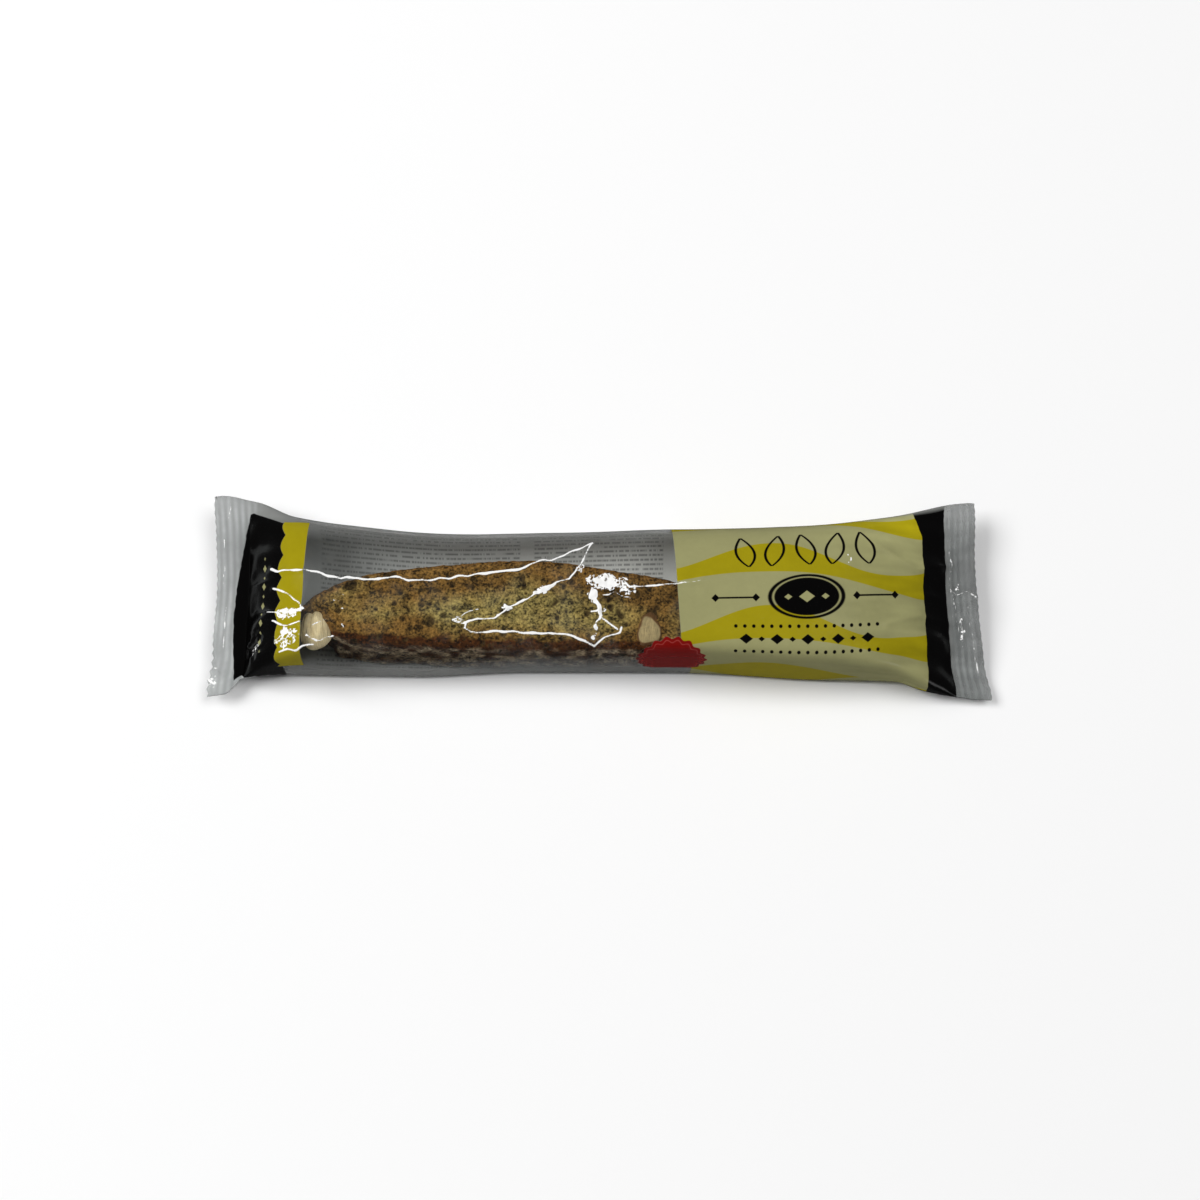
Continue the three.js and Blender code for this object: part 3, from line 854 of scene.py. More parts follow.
# %% Field helper
class Field:
    """A number that changes over a surface, held as a socket. Arithmetic on it adds Math nodes."""

    def __init__(self, tree, socket):
        self.tree = tree
        self.socket = socket

    def math(self, operation, *others, clamp=False):
        """The result of one Math node on this number and others, which are fields or plain numbers."""
        node = self.tree.nodes.new("ShaderNodeMath")
        node.operation = operation
        node.use_clamp = clamp
        for slot, value in zip(node.inputs, (self, *others)):
            if isinstance(value, Field):
                self.tree.links.new(value.socket, slot)
            else:
                slot.default_value = value
        return Field(self.tree, node.outputs[0])

    def __add__(self, other):
        return self.math("ADD", other)

    def __sub__(self, other):
        return self.math("SUBTRACT", other)

    def __mul__(self, other):
        return self.math("MULTIPLY", other)

    def __truediv__(self, other):
        return self.math("DIVIDE", other)

    def sine(self):
        """The sine of the number, taken as radians."""
        return self.math("SINE")

    def cosine(self):
        """The cosine of the number, taken as radians."""
        return self.math("COSINE")

    def size(self):
        """The number without its sign."""
        return self.math("ABSOLUTE")

    def low(self, other):
        """The lower of two numbers. Of two masks, that is where both hold."""
        return self.math("MINIMUM", other)

    def high(self, other):
        """The higher of two numbers. Of two masks, that is where either holds."""
        return self.math("MAXIMUM", other)

    def nearest_whole(self):
        """The whole number that is nearest."""
        return self.math("ROUND")

    def opposite(self):
        """1 less the number."""
        return (self * -1.0) + 1.0

    def swing(self, amount):
        """The number less a half, times an amount: noise that swings about nought."""
        return (self - 0.5) * amount

    def above(self, edge, soft):
        """1 where the number is over the edge, 0 where it is under, with a soft step between."""
        return ((self - edge) / soft).math("ADD", 0.5, clamp=True)

    def below(self, edge, soft):
        """1 where the number is under the edge: the opposite of above."""
        return self.above(edge, soft).opposite()

    def between(self, start, end, soft):
        """1 between two edges: the lower of above the start and below the end."""
        return self.above(start, soft).low(self.below(end, soft))

    def repeat(self, period):
        """The remainder after whole periods, from minus half a period to plus half a period."""
        return self - (self / period).nearest_whole() * period


# %% Material helpers
def attribute(tree, name):
    """A value that the mesh's points carry."""
    node = tree.nodes.new("ShaderNodeAttribute")
    node.attribute_name = name
    return Field(tree, node.outputs["Fac"])


def paint(tree, under_colour, over_colour, mask):
    """A colour laid over another where the mask is 1. Either may be a socket or plain numbers."""
    node = tree.nodes.new("ShaderNodeMix")
    node.data_type = "RGBA"
    node.clamp_factor = True
    tree.links.new(mask.socket, node.inputs["Factor"])
    colour_slots = [slot for slot in node.inputs if slot.type == "RGBA"]
    for slot, colour in zip(colour_slots, (under_colour, over_colour)):
        if isinstance(colour, bpy.types.NodeSocket):
            tree.links.new(colour, slot)
        else:
            slot.default_value = (*colour, 1.0)
    return [slot for slot in node.outputs if slot.type == "RGBA"][0]


def shade(tree, colour, amount):
    """A colour made lighter or darker, multiplied by a field."""
    node = tree.nodes.new("ShaderNodeVectorMath")
    node.operation = "SCALE"
    tree.links.new(colour, node.inputs[0])
    tree.links.new(amount.socket, node.inputs["Scale"])
    return node.outputs["Vector"]


def new_material(name):
    """A material with its Principled shader and its node tree."""
    material = bpy.data.materials.new(name)
    material.use_nodes = True
    return material, material.node_tree, material.node_tree.nodes["Principled BSDF"]


def bump_from(tree, field, distance):
    """A normal tilted by the slope of a field, as if the surface rose by the field times a distance in
    metres."""
    node = tree.nodes.new("ShaderNodeBump")
    node.inputs["Distance"].default_value = distance
    tree.links.new(field.socket, node.inputs["Height"])
    return node.outputs["Normal"]


def stretched_noise(tree, x, y, detail):
    """Noise at a place made from two fields, so that each way has a size of its own."""
    place = tree.nodes.new("ShaderNodeCombineXYZ")
    tree.links.new(x.socket, place.inputs["X"])
    tree.links.new(y.socket, place.inputs["Y"])
    texture = tree.nodes.new("ShaderNodeTexNoise")
    texture.inputs["Scale"].default_value = 1.0
    texture.inputs["Detail"].default_value = detail
    tree.links.new(place.outputs["Vector"], texture.inputs["Vector"])
    return Field(tree, texture.outputs["Fac"])


# %% [markdown]
# ## A shared grain
# Crumb, nut and printed film all vary a little from spot to spot. Each finish could have noise textures of
# its own, but they would all be alike. So the unevenness is one node group with two outputs: `Fine`, noise at
# the scale that is asked for, and `Broad`, patches six times as large. Each material places the group with
# its own scale.

# %% Grain group
BROAD_RATIO = 6.0
GRAIN_DETAIL, GRAIN_ROUGHNESS = 3.0, 0.6


def make_grain_group():
    """Two noise textures on the object's own place: one at the scale that comes in, one at that scale divided
    by the broad ratio."""
    group = bpy.data.node_groups.new("uneven_grain", "ShaderNodeTree")
    group.interface.new_socket("Scale", in_out="INPUT", socket_type="NodeSocketFloat")
    for name in ("Fine", "Broad"):
        group.interface.new_socket(name, in_out="OUTPUT", socket_type="NodeSocketFloat")
    start = group.nodes.new("NodeGroupInput")
    finish = group.nodes.new("NodeGroupOutput")
    place = group.nodes.new("ShaderNodeTexCoord")
    scale = Field(group, start.outputs["Scale"])
    for name, size in (("Fine", scale), ("Broad", scale / BROAD_RATIO)):
        texture = group.nodes.new("ShaderNodeTexNoise")
        texture.inputs["Detail"].default_value = GRAIN_DETAIL
        texture.inputs["Roughness"].default_value = GRAIN_ROUGHNESS
        group.links.new(place.outputs["Object"], texture.inputs["Vector"])
        group.links.new(size.socket, texture.inputs["Scale"])
        group.links.new(texture.outputs["Fac"], finish.inputs[name])
    return group


grain_group = make_grain_group()


def grain(tree, scale):
    """The fine and broad fields of the grain group, placed at a scale in cells per metre."""
    node = tree.nodes.new("ShaderNodeGroup")
    node.node_tree = grain_group
    node.inputs["Scale"].default_value = scale
    return Field(tree, node.outputs["Fine"]), Field(tree, node.outputs["Broad"])


print("grain group with", len(grain_group.nodes), "nodes")

# %% [markdown]
# ## The print on the film
# The ink is plain: black end bands, a scalloped yellow strip, a cream panel with slow yellow waves, a red
# scalloped roundel, and a few drawn shapes in black. A painted picture could carry it, but would blur close
# up. So each shape is a mask worked out from two numbers that the film's points carry: `along`, from end to
# end of the flat film, and `across`, from its front edge to its back edge. The print stays sharp and follows
# every fold, as ink does.

# %% Print layout
INK_SOFT = 0.16
BAND_LEFT, BAND_BOW, BAND_FRONT_BOW, BAND_STRAIGHT = -89.7, 0.0065, 0.0045, 20.0
BAND_TOP, BAND_TOP_SLANT, BAND_CORNER, BAND_CORNER_SLANT = 48.4, 0.4, -84.0, 0.45
BAND_CHAMFER, BAND_CHAMFER_SLOPE = 87.4, 0.484
BAND_WOBBLE, UNDER_STRIP, UNDER_BAND = 1.6, 1.5, 1.0
STRIP, STRIP_ACROSS, SCALLOP_PITCH, SCALLOP_DEPTH = (-76.4, -69.7), (4.0, 43.5), 5.6, 1.1
PANEL_LEFT, PANEL_SLANT, PANEL_BACK_STEP = 20.2, -0.068, 2.0
BAND_RIGHT, BAND_LEAN_START, BAND_LEAN = (78.4, 86.0), 41.5, 0.3
RIM_START, RIM_TURN, RIM_SLOPE, RIM_SOFT, RIM_END_SOFT = 45.3, 45.0, 0.095, 1.0, 4.0
WAVE_PITCH, WAVE_HALF = 15.5, 2.7
# How far a sine turns in a millimetre and where it starts, in radians, and its height
SWAY_TURN, SWAY_START, SWAY = 0.1, 0.6, 3.0
SWELL_TURN, SWELL_START, SWELL = 0.14, 2.2, 1.1


def band_masks(along, across, broad):
    """The black ends. The left band's outer edge bends inwards as a parabola behind and a flatter one in
    front, its front and back corners are slanted, and a short line cuts the back one. The right band is wider
    at the back. Noise makes the edges wander."""
    behind = (across - BAND_STRAIGHT).high(0.0)
    before = (across - BAND_STRAIGHT).low(0.0)
    wander = along + broad.swing(BAND_WOBBLE)
    bowed = wander - behind * behind * BAND_BOW - before * before * BAND_FRONT_BOW
    left = bowed.above(BAND_LEFT, INK_SOFT).low(along.below(STRIP[0] + UNDER_STRIP, INK_SOFT))
    left = left.low((across + (along - BAND_LEFT) * BAND_TOP_SLANT).below(BAND_TOP, INK_SOFT))
    left = left.low((across - along * BAND_CHAMFER_SLOPE).below(BAND_CHAMFER, INK_SOFT))
    left = left.low((across + (along - BAND_CORNER) * BAND_CORNER_SLANT).above(0.0, INK_SOFT))
    leaning = wander + (across - BAND_LEAN_START).high(0.0) * BAND_LEAN
    right = leaning.above(BAND_RIGHT[0], INK_SOFT).low(wander.below(BAND_RIGHT[1], INK_SOFT))
    return left.high(right)


def strip_mask(along, across):
    """A bar whose left edge is a row of arcs: the size of a sine."""
    scallop = (across * (math.pi / SCALLOP_PITCH)).sine().size() * SCALLOP_DEPTH
    bar = (along + scallop).above(STRIP[0] + SCALLOP_DEPTH, INK_SOFT)
    return bar.low(along.below(STRIP[1], INK_SOFT)).low(across.between(*STRIP_ACROSS, INK_SOFT))


def panel_mask(along, across, is_top):
    """The panel's left edge slants a little, and on the lower sheet it starts further right."""
    edge = across * PANEL_SLANT + is_top.opposite() * PANEL_BACK_STEP + PANEL_LEFT
    return along.above(edge, INK_SOFT).low(along.below(BAND_RIGHT[0] + UNDER_BAND, INK_SOFT))


def rim_mask(along, across):
    """The strip beside the back fold that the ink leaves thin. It narrows in a straight line to the right
    seal."""
    start = (along - RIM_TURN).high(0.0) * RIM_SLOPE + RIM_START
    return (across - start).above(0.0, RIM_SOFT).low(along.above(PANEL_LEFT, RIM_END_SOFT))


def wave_mask(along, across):
    """Stripes along the panel that sway by one sine and swell by another."""
    sway = (along * SWAY_TURN + SWAY_START).sine() * SWAY
    swell = (along * SWELL_TURN + SWELL_START).sine() * SWELL + WAVE_HALF
    return (across + sway).repeat(WAVE_PITCH).size().below(swell, INK_SOFT)


# %% Drawn shapes
ROW_MIDDLE, ROW_LEVEL, ROW_PITCH, ROW_COUNT = 48.8, 35.0, 7.2, 5
ROW_HALF_WIDTH, ROW_HALF_HEIGHT, ROW_STROKE, ROW_LEAN, ROW_TAPER = 2.1, 4.2, 0.66, 0.22, 0.3
RULE_LEVEL, RULE_REACH, RULE_THICKNESS, RULE_TIP = 23.6, (12.0, 21.5), 0.42, 0.95
MEDALLION, MEDALLION_HALF, MEDALLION_RING, OVAL_SOFT = (48.8, 23.6), (9.2, 5.0), (0.84, 0.89), 0.04
MEDALLION_PITCH, MEDALLION_LOZENGE, MEDALLION_COUNT = 4.4, 1.3, 3
LOZENGE_LEVEL, LOZENGE_PITCH, LOZENGE_HALF, LOZENGE_COUNT = 14.2, 3.6, 1.1, 9
LOZENGE_STEEPNESS, LOZENGE_SWING, COUNT_SOFT = 0.7, 0.25, 0.1
DOT_LEVELS, DOT_PITCH, DOT_RADIUS, DOT_COUNT = (11.4, 17.0), 2.1, 0.42, 17
ROUNDEL, ROUNDEL_RADIUS, ROUNDEL_SCALLOPS, SCALLOP_RISE = (17.2, 6.2), 8.1, 18, 0.32
ROUNDEL_RING_DEPTH, ROUNDEL_RING_HALF = 0.9, 0.12
COLUMN_PLACE, COLUMN_LEVELS, COLUMN_PITCH, COLUMN_HALF = -80.9, (9.0, 33.0), 2.4, 0.62


def oval(along, across, middle, half):
    """0 in the middle and 1 on the outline: the length of the offset, each part divided by its half size."""
    u = (along - middle[0]) / half[0]
    v = (across - middle[1]) / half[1]
    return (u * u + v * v).math("SQRT")


def almond_row(along, across):
    """Outlined almonds in a row, each leaning the other way than its neighbours. The half width of one goes
    as 1 - t^2 up its height, and is less towards its tip."""
    number = ((along - ROW_MIDDLE) / ROW_PITCH).nearest_whole()
    rise = across - ROW_LEVEL
    u = along - ROW_MIDDLE - number * ROW_PITCH + (number * math.pi).cosine() * rise * ROW_LEAN
    t = rise / ROW_HALF_HEIGHT
    beyond = u.size() - (t * t).opposite() * (t * -ROW_TAPER + 1.0) * ROW_HALF_WIDTH
    outline = beyond.size().below(ROW_STROKE / 2, INK_SOFT)
    in_row = number.size().below(ROW_COUNT / 2, COUNT_SOFT)
    return outline.low(rise.size().below(ROW_HALF_HEIGHT, INK_SOFT)).low(in_row)


def lozenges(place, rise, pitch, half, count):
    """A row of lozenges at an even pitch about a middle, every second one smaller."""
    number = (place / pitch).nearest_whole()
    reach = (number * math.pi).cosine() * (half * LOZENGE_SWING) + half * (1 - LOZENGE_SWING)
    shapes = ((place - number * pitch).size() * LOZENGE_STEEPNESS + rise.size()).below(reach, INK_SOFT)
    return shapes.low(number.size().below(count / 2, COUNT_SOFT))


def side_rules(along, across):
    """A thin line on each side of the medallion, with a lozenge at each end."""
    rise = (across - RULE_LEVEL).size()
    out = (along - ROW_MIDDLE).size()
    line = rise.below(RULE_THICKNESS / 2, INK_SOFT).low(out.between(*RULE_REACH, INK_SOFT))
    for end in RULE_REACH:
        line = line.high(((out - end).size() + rise).below(RULE_TIP, INK_SOFT))
    return line


def dotted_line(along, across, level):
    """An odd number of round dots at an even pitch."""
    place = along - ROW_MIDDLE
    u, v = place.repeat(DOT_PITCH), across - level
    dots = (u * u + v * v).math("SQRT").below(DOT_RADIUS, INK_SOFT)
    return dots.low(place.size().below(DOT_COUNT * DOT_PITCH / 2, INK_SOFT))


def medallion_mask(along, across):
    """A dark oval with a pale ring just inside its edge and a few pale lozenges."""
    out = oval(along, across, MEDALLION, MEDALLION_HALF)
    place, rise = along - MEDALLION[0], across - MEDALLION[1]
    pale = lozenges(place, rise, MEDALLION_PITCH, MEDALLION_LOZENGE, MEDALLION_COUNT)
    pale = pale.high(out.between(*MEDALLION_RING, OVAL_SOFT))
    return out.below(1.0, OVAL_SOFT).low(pale.opposite())


def roundel_masks(along, across):
    """A disc whose edge is a circle plus a cosine of the angle, and a thin ring inside it."""
    u, v = along - ROUNDEL[0], across - ROUNDEL[1]
    radius = (u * u + v * v).math("SQRT")
    edge = (v.math("ARCTAN2", u) * ROUNDEL_SCALLOPS).cosine() * SCALLOP_RISE + ROUNDEL_RADIUS
    ring = (radius - edge + ROUNDEL_RING_DEPTH).size().below(ROUNDEL_RING_HALF, INK_SOFT)
    return radius.below(edge, INK_SOFT), ring


def black_marks(along, across):
    """All that is drawn in black on the panel."""
    marks = medallion_mask(along, across).high(almond_row(along, across)).high(side_rules(along, across))
    place, rise = along - ROW_MIDDLE, across - LOZENGE_LEVEL
    marks = marks.high(lozenges(place, rise, LOZENGE_PITCH, LOZENGE_HALF, LOZENGE_COUNT))
    for level in DOT_LEVELS:
        marks = marks.high(dotted_line(along, across, level))
    return marks


def pale_column(along, across):
    """A column of small lozenges on the left band."""
    middle = (COLUMN_LEVELS[0] + COLUMN_LEVELS[1]) / 2
    count = round((COLUMN_LEVELS[1] - COLUMN_LEVELS[0]) / COLUMN_PITCH)
    return lozenges(across - middle, along - COLUMN_PLACE, COLUMN_PITCH, COLUMN_HALF, count)


# %% Lines on the back
DASH_PITCH, DASH_THICKNESS, DASH_DETAIL = 1.35, 0.6, 1.0
DASH_SOFT, GAP_SOFT, BLOCK_SOFT = 0.3, 0.1, 0.4
# Length of the noise along a row, level that cuts it off, shift from row to row: dashes, then bare stretches
DASH_LAYERS = [(0.5, 0.44, 7.3), (7.0, 0.34, 3.1)]
FIRST_BLOCK, SECOND_BLOCK = (-68.2, -19.5), (-16.0, 15.5)


def small_lines(tree, along, across):
    """Rows of short grey dashes in two blocks: noise along each row, cut off at a level, with a gap between
    rows. Slower noise leaves some of a row bare."""
    row = (across / DASH_PITCH).nearest_whole()
    mask = (across - row * DASH_PITCH).size().below(DASH_THICKNESS / 2, DASH_SOFT)
    for length, level, shift in DASH_LAYERS:
        mask = mask * stretched_noise(tree, along / length, row * shift, DASH_DETAIL).above(level, GAP_SOFT)
    in_block = along.between(*FIRST_BLOCK, BLOCK_SOFT).high(along.between(*SECOND_BLOCK, BLOCK_SOFT))
    return mask.low(in_block)


# %% [markdown]
# ## The film's finish
# Clear film could be made of two shaders, glass and ink, mixed by a mask. A lone Principled shader can be
# baked, so its alpha does that work and says how much the film hides: little in the clear window, a little
# more in milky patches, more where the film turns edge on along its two long folds or is welded in the seals,
# all where there is ink or a painted highlight on a crest. The film is glossy, with a fine unevenness in its
# gloss.

# %% Film colours
BLACK = (0.001, 0.0009, 0.0009)
YELLOW = (0.32, 0.265, 0.005)
CREAM = (0.305, 0.296, 0.136)
RED = (0.19, 0.004, 0.003)
ROSE = (0.3, 0.04, 0.035)
# Painted highlight: the colour of the bright lines on the creases' crests and of the lit facets
HIGHLIGHT_WHITE = (0.95, 0.95, 0.94)
# The left seal is lighter than the right: a painted reflection
LIT_SEAL_LEFT = (0.34, 0.355, 0.35)
SEAL_RIGHT = (0.17, 0.18, 0.176)
HAZE = (0.27, 0.276, 0.266)
# The printed back's grey is partly painted shade of the floor under the pack, darker on the left
SHADED_BACK_LEFT = (0.3, 0.315, 0.305)
SHADED_BACK_RIGHT = (0.7, 0.71, 0.67)
DASH_GREY = (0.07, 0.073, 0.07)
RIM_GREY = (0.26, 0.265, 0.25)

# %% Film light
# Middle and length of a soft step go in pairs, in millimetres on the flat film
FACET_SCALE, FACET_SPREAD = 1900.0, 0.9
EDGE_SCALE, EDGE_HALF, EDGE_SHARE, EDGE_SHARE_SOFT = 820.0, 0.07, -0.2, 0.1
FACET_SOFT = 0.06
# Painted light and shade of the panel's folds towards the right seal, and painted light at the back of its
# right end
PLEAT_LONG, PLEAT_SHORT, PLEAT_DETAIL, PLEAT_LIGHT, PLEAT_STEP = 13.0, 3.2, 1.0, 0.7, (60.0, 34.0)
LIT_BACK, LIT_BACK_STEP, LIT_BACK_END_STEP = 0.26, (36.0, 16.0), (60.0, 30.0)
# Painted sheen on the crimp's ridges, and the weld's clouds
RIDGE_LIGHT, RIDGE_LEVEL, WELD_CLOUDS = 0.7, 0.3, 0.8


def cell_pattern(tree, scale, feature):
    """A pattern of cells at a scale in cells per metre, on the film's own place."""
    cells = tree.nodes.new("ShaderNodeTexVoronoi")
    cells.feature = feature
    cells.inputs["Scale"].default_value = scale
    place = tree.nodes.new("ShaderNodeTexCoord")
    tree.links.new(place.outputs["Object"], cells.inputs["Vector"])
    return cells


def bright_facets(tree, share):
    """Each cell is one facet with its own number, and gets the painted highlight if the share outdoes it.
    Thin lines of painted highlight on the edges of larger cells join the facets."""
    parts = tree.nodes.new("ShaderNodeSeparateColor")
    tree.links.new(cell_pattern(tree, FACET_SCALE, "F1").outputs["Color"], parts.inputs["Color"])
    number = Field(tree, parts.outputs["Red"])
    to_edge = Field(tree, cell_pattern(tree, EDGE_SCALE, "DISTANCE_TO_EDGE").outputs["Distance"])
    edges = to_edge.below(EDGE_HALF, FACET_SOFT).low(share.above(EDGE_SHARE, EDGE_SHARE_SOFT))
    return (share + number.swing(FACET_SPREAD)).above(0.0, FACET_SOFT).high(edges)


def panel_light(tree, along, across):
    """Painted light and shade on the print: soft folds towards the right seal, lighter and darker by noise
    that is long along the pack and short across it, and painted light at the back there."""
    folds = stretched_noise(tree, along / PLEAT_LONG, across / PLEAT_SHORT, PLEAT_DETAIL)
    pleat_shade = folds.swing(along.above(*PLEAT_STEP))
    lit_back = across.above(*LIT_BACK_STEP) * along.above(*LIT_BACK_END_STEP)
    return pleat_shade * PLEAT_LIGHT + lit_back * LIT_BACK + 1.0


def crimped(along, broad):
    """Welded film gets a painted sheen on the ridges of its crimp, and is cloudy all over."""
    from_cut = along.size() * -1.0 + HALF_LENGTH
    ridges = (from_cut * (2 * math.pi / CRIMP_PITCH)).sine()
    return ridges * (broad - RIDGE_LEVEL) * RIDGE_LIGHT + broad.swing(WELD_CLOUDS) + 1.0


# %% Film fields and inks
FILM_GRAIN, JAGGED_GRAIN, JAGGED, CREST_SOFT = 700.0, 2200.0, 0.2, 0.08
SIDE_SOFT, WELD_STEP = 0.05, (SEAL_INNER - 1.5, 6.0)
LEVEL_TILT, LEVEL_START = 0.0017, 28.0
PRINTED_BACK_STEP = (8.0, 2.0)


def film_fields(tree):
    """What the finish reads at a point of the film: the values that the point carries, the grain, the sheet
    that it is on, how far it is welded, and whether it gets the painted highlight."""
    at = SimpleNamespace(**{name: attribute(tree, name) for name in film_values})
    at.fine, at.broad = grain(tree, FILM_GRAIN)
    jagged, _ = grain(tree, JAGGED_GRAIN)
    lit = bright_facets(tree, at.facets)
    # The painted highlight: inside a crest's glint, or on a lit facet
    at.white = (at.glint + jagged.swing(JAGGED)).above(0.0, CREST_SOFT).high(lit)
    at.top = at.side.above(0.0, SIDE_SOFT)
    at.under = at.top.opposite()
    at.weld = at.along.size().above(*WELD_STEP)
    at.printed_back = at.across.above(*PRINTED_BACK_STEP).low(at.under)
    return at


def film_inks(at):
    """Where each ink lies, kept to the sheet that it is printed on. The drawn shapes tilt a little: their
    distance across the film shrinks in step with the distance along it."""
    level = at.across * ((at.along - LEVEL_START) * -LEVEL_TILT + 1.0)
    ink = SimpleNamespace()
    ink.strip = strip_mask(at.along, at.across).low(at.top)
    ink.bands = band_masks(at.along, at.across, at.broad).low(ink.strip.opposite())
    ink.panel = panel_mask(at.along, at.across, at.top)
    ink.waves = wave_mask(at.along, at.across).low(ink.panel)
    ink.marks = black_marks(at.along, level).low(ink.panel).low(at.top)
    roundel, ring = roundel_masks(at.along, at.across)
    ink.roundel = roundel.low(at.top)
    ink.roundel_ring = ring.low(ink.roundel)
    ink.rim = rim_mask(at.along, at.across).low(at.top)
    ink.column = pale_column(at.along, at.across).low(at.top)
    return ink


# %% Film finish
BACK_TURN, LINE_STRENGTH, RIM_STRENGTH = (-25.0, 90.0), 0.6, 0.7
FRONT_PALE, FRONT_PALE_STEP, WELD_LIGHT = 0.45, (16.0, 24.0), 0.95
RIGHT_HALF = (0.0, 1.0)
FINE_SHADE, BROAD_SHADE = 0.1, 0.2
CLEAR_ALPHA, BACK_FOLD_ALPHA, FRONT_FOLD_ALPHA = 0.018, 0.8, 0.7
SEAL_ALPHA, BACK_ALPHA, CREST_ALPHA = 0.6, 0.985, 0.96
BACK_FOLD_STEP, FRONT_FOLD_STEP = (41.5, 8.0), (4.5, 9.0)
CLOUD_SCALE, CLOUD_ALPHA, CLOUD_STEP = 520.0, 0.07, (0.56, 0.14)
GLOSS, GLOSS_SWING, FILM_BUMP, FILM_IOR = 0.17, 0.2, 0.00012, 1.47


def bare_film(tree, at):
    """The colour of film without the main inks: hazy on top, greyish with dashes where the back is printed,
    that grey being partly painted shade and darker on the left, and welded film with a painted sheen on its
    crimp's ridges, palest in front, and lighter on the left as a painted reflection."""
    lines = small_lines(tree, at.along, at.across).low(at.under)
    # The back's grey, partly painted shade, turns from darker on the left to lighter on the right
    back = paint(tree, SHADED_BACK_LEFT, SHADED_BACK_RIGHT, at.along.above(*BACK_TURN))
    back = paint(tree, back, DASH_GREY, lines * LINE_STRENGTH)
    colour = paint(tree, HAZE, back, at.printed_back)
    paler_in_front = at.across.below(*FRONT_PALE_STEP) * FRONT_PALE + WELD_LIGHT
    # Painted reflection: the left seal is lighter than the right. The crimp's ridges get a painted sheen.
    welded = paint(tree, LIT_SEAL_LEFT, SEAL_RIGHT, at.along.above(*RIGHT_HALF))
    welded = shade(tree, welded, crimped(at.along, at.broad) * paler_in_front)
    return paint(tree, colour, welded, at.weld)


def film_colour(tree, at, ink):
    """The bare film with one ink after another over it, painted light and shade on the panel's folds, shading
    by the grain, and the painted highlights of the crests on top.
    """
    colour = paint(tree, bare_film(tree, at), CREAM, ink.panel)
    colour = paint(tree, colour, YELLOW, ink.waves.high(ink.strip))
    # Painted light and shade of the panel's folds, and painted light at the back of its right end
    colour = shade(tree, colour, panel_light(tree, at.along, at.across))
    for ink_colour, mask in [
        (BLACK, ink.bands.high(ink.marks)), (RIM_GREY, ink.rim * RIM_STRENGTH), (CREAM, ink.column),
        (RED, ink.roundel), (ROSE, ink.roundel_ring),
    ]:
        colour = paint(tree, colour, ink_colour, mask)
    colour = shade(tree, colour, at.fine.swing(FINE_SHADE) + at.broad.swing(BROAD_SHADE) + 1.0)
    # Painted highlights on the crests and facets, over all the rest
    return paint(tree, colour, HIGHLIGHT_WHITE, at.white)


def film_alpha(tree, at, ink):
    """How much the film hides: the most of what the clear or welded sheet, the ink and the painted highlights
    on the crests hide.
    """
    _, clouds = grain(tree, CLOUD_SCALE)
    clear = at.across.above(*BACK_FOLD_STEP) * (BACK_FOLD_ALPHA - CLEAR_ALPHA) + CLEAR_ALPHA
    clear = clear + clouds.above(*CLOUD_STEP) * CLOUD_ALPHA
    clear = clear + at.across.below(*FRONT_FOLD_STEP) * (FRONT_FOLD_ALPHA - CLEAR_ALPHA)
    sheet = (at.top * clear + at.under * FRONT_FOLD_ALPHA).high(at.printed_back * BACK_ALPHA)
    sheet = at.weld * SEAL_ALPHA + at.weld.opposite() * sheet
    inked = ink.bands.high(ink.strip).high(ink.panel).high(ink.roundel)
    return sheet.high(inked).high(at.white * CREST_ALPHA)


def printed_film():
    """The film's material: colour, alpha, gloss and a faint bump, each worked out above."""
    material, tree, shader = new_material("printed_film")
    at = film_fields(tree)
    ink = film_inks(at)
    tree.links.new(film_colour(tree, at, ink), shader.inputs["Base Color"])
    tree.links.new(film_alpha(tree, at, ink).socket, shader.inputs["Alpha"])
    tree.links.new((at.broad.swing(GLOSS_SWING) + GLOSS).socket, shader.inputs["Roughness"])
    tree.links.new(bump_from(tree, at.broad, FILM_BUMP), shader.inputs["Normal"])
    shader.inputs["IOR"].default_value = FILM_IOR
    return material


film.data.materials.append(printed_film())
seam.data.materials.append(film.data.materials[0])
print("film finish with", len(film.data.materials[0].node_tree.nodes), "nodes")

# %% [markdown]
# ## Baked crumb
# The cut face is olive-tan in its heart and browner towards the crust, with dark specks of nut skin, and open
# pores that are painted dark as painted shade. Fine grain makes the crumb lighter and darker from one half
# millimetre to the next. The flat base of the log was on the tray, so the rim of the face is darkest there. A
# colour ramp over noise could give crumb anywhere, but the browning has to keep to the crust. So it is laid
# on in layers by the values that the points carry, and noise only frays the layers' edges.

# %% Biscuit finish
CRUMB_HEART = (0.229, 0.178, 0.055)
CRUMB_BROWN = (0.144, 0.077, 0.018)
CRUST = (0.132, 0.066, 0.017)
BASE_RIM = (0.046, 0.015, 0.003)
# The base's side wall, painted lighter to make up for the little light it gets: painted light
BASE_WALL_LIT = (0.41, 0.325, 0.205)
# Dark of the nut-skin specks, and of the pores as painted shade
SPECK_AND_PORE_SHADE = (0.034, 0.021, 0.007)
CRUMB_SCALE, SPECK_SCALE = 1700.0, 560.0
HEART_DRIFT, FRAY = 2.0, 1.2
CRUST_STEP, BASE_RIM_STEP, PORE_SHADE_STEP, SPECK_STEP = (0.6, 0.7), (0.5, 0.6), (0.5, 0.6), (0.66, 0.05)
PORE_SHADE_STRENGTH, SPECK_STRENGTH = 0.9, 0.8
MOTTLE_FINE, MOTTLE_SPECKS, MOTTLE_PATCHES, DARKEST = 5.0, 2.2, 1.8, 0.15
CRUMB_ROUGHNESS, CRUMB_SHEEN, CRUMB_BUMP = 0.85, 0.2, 0.0004


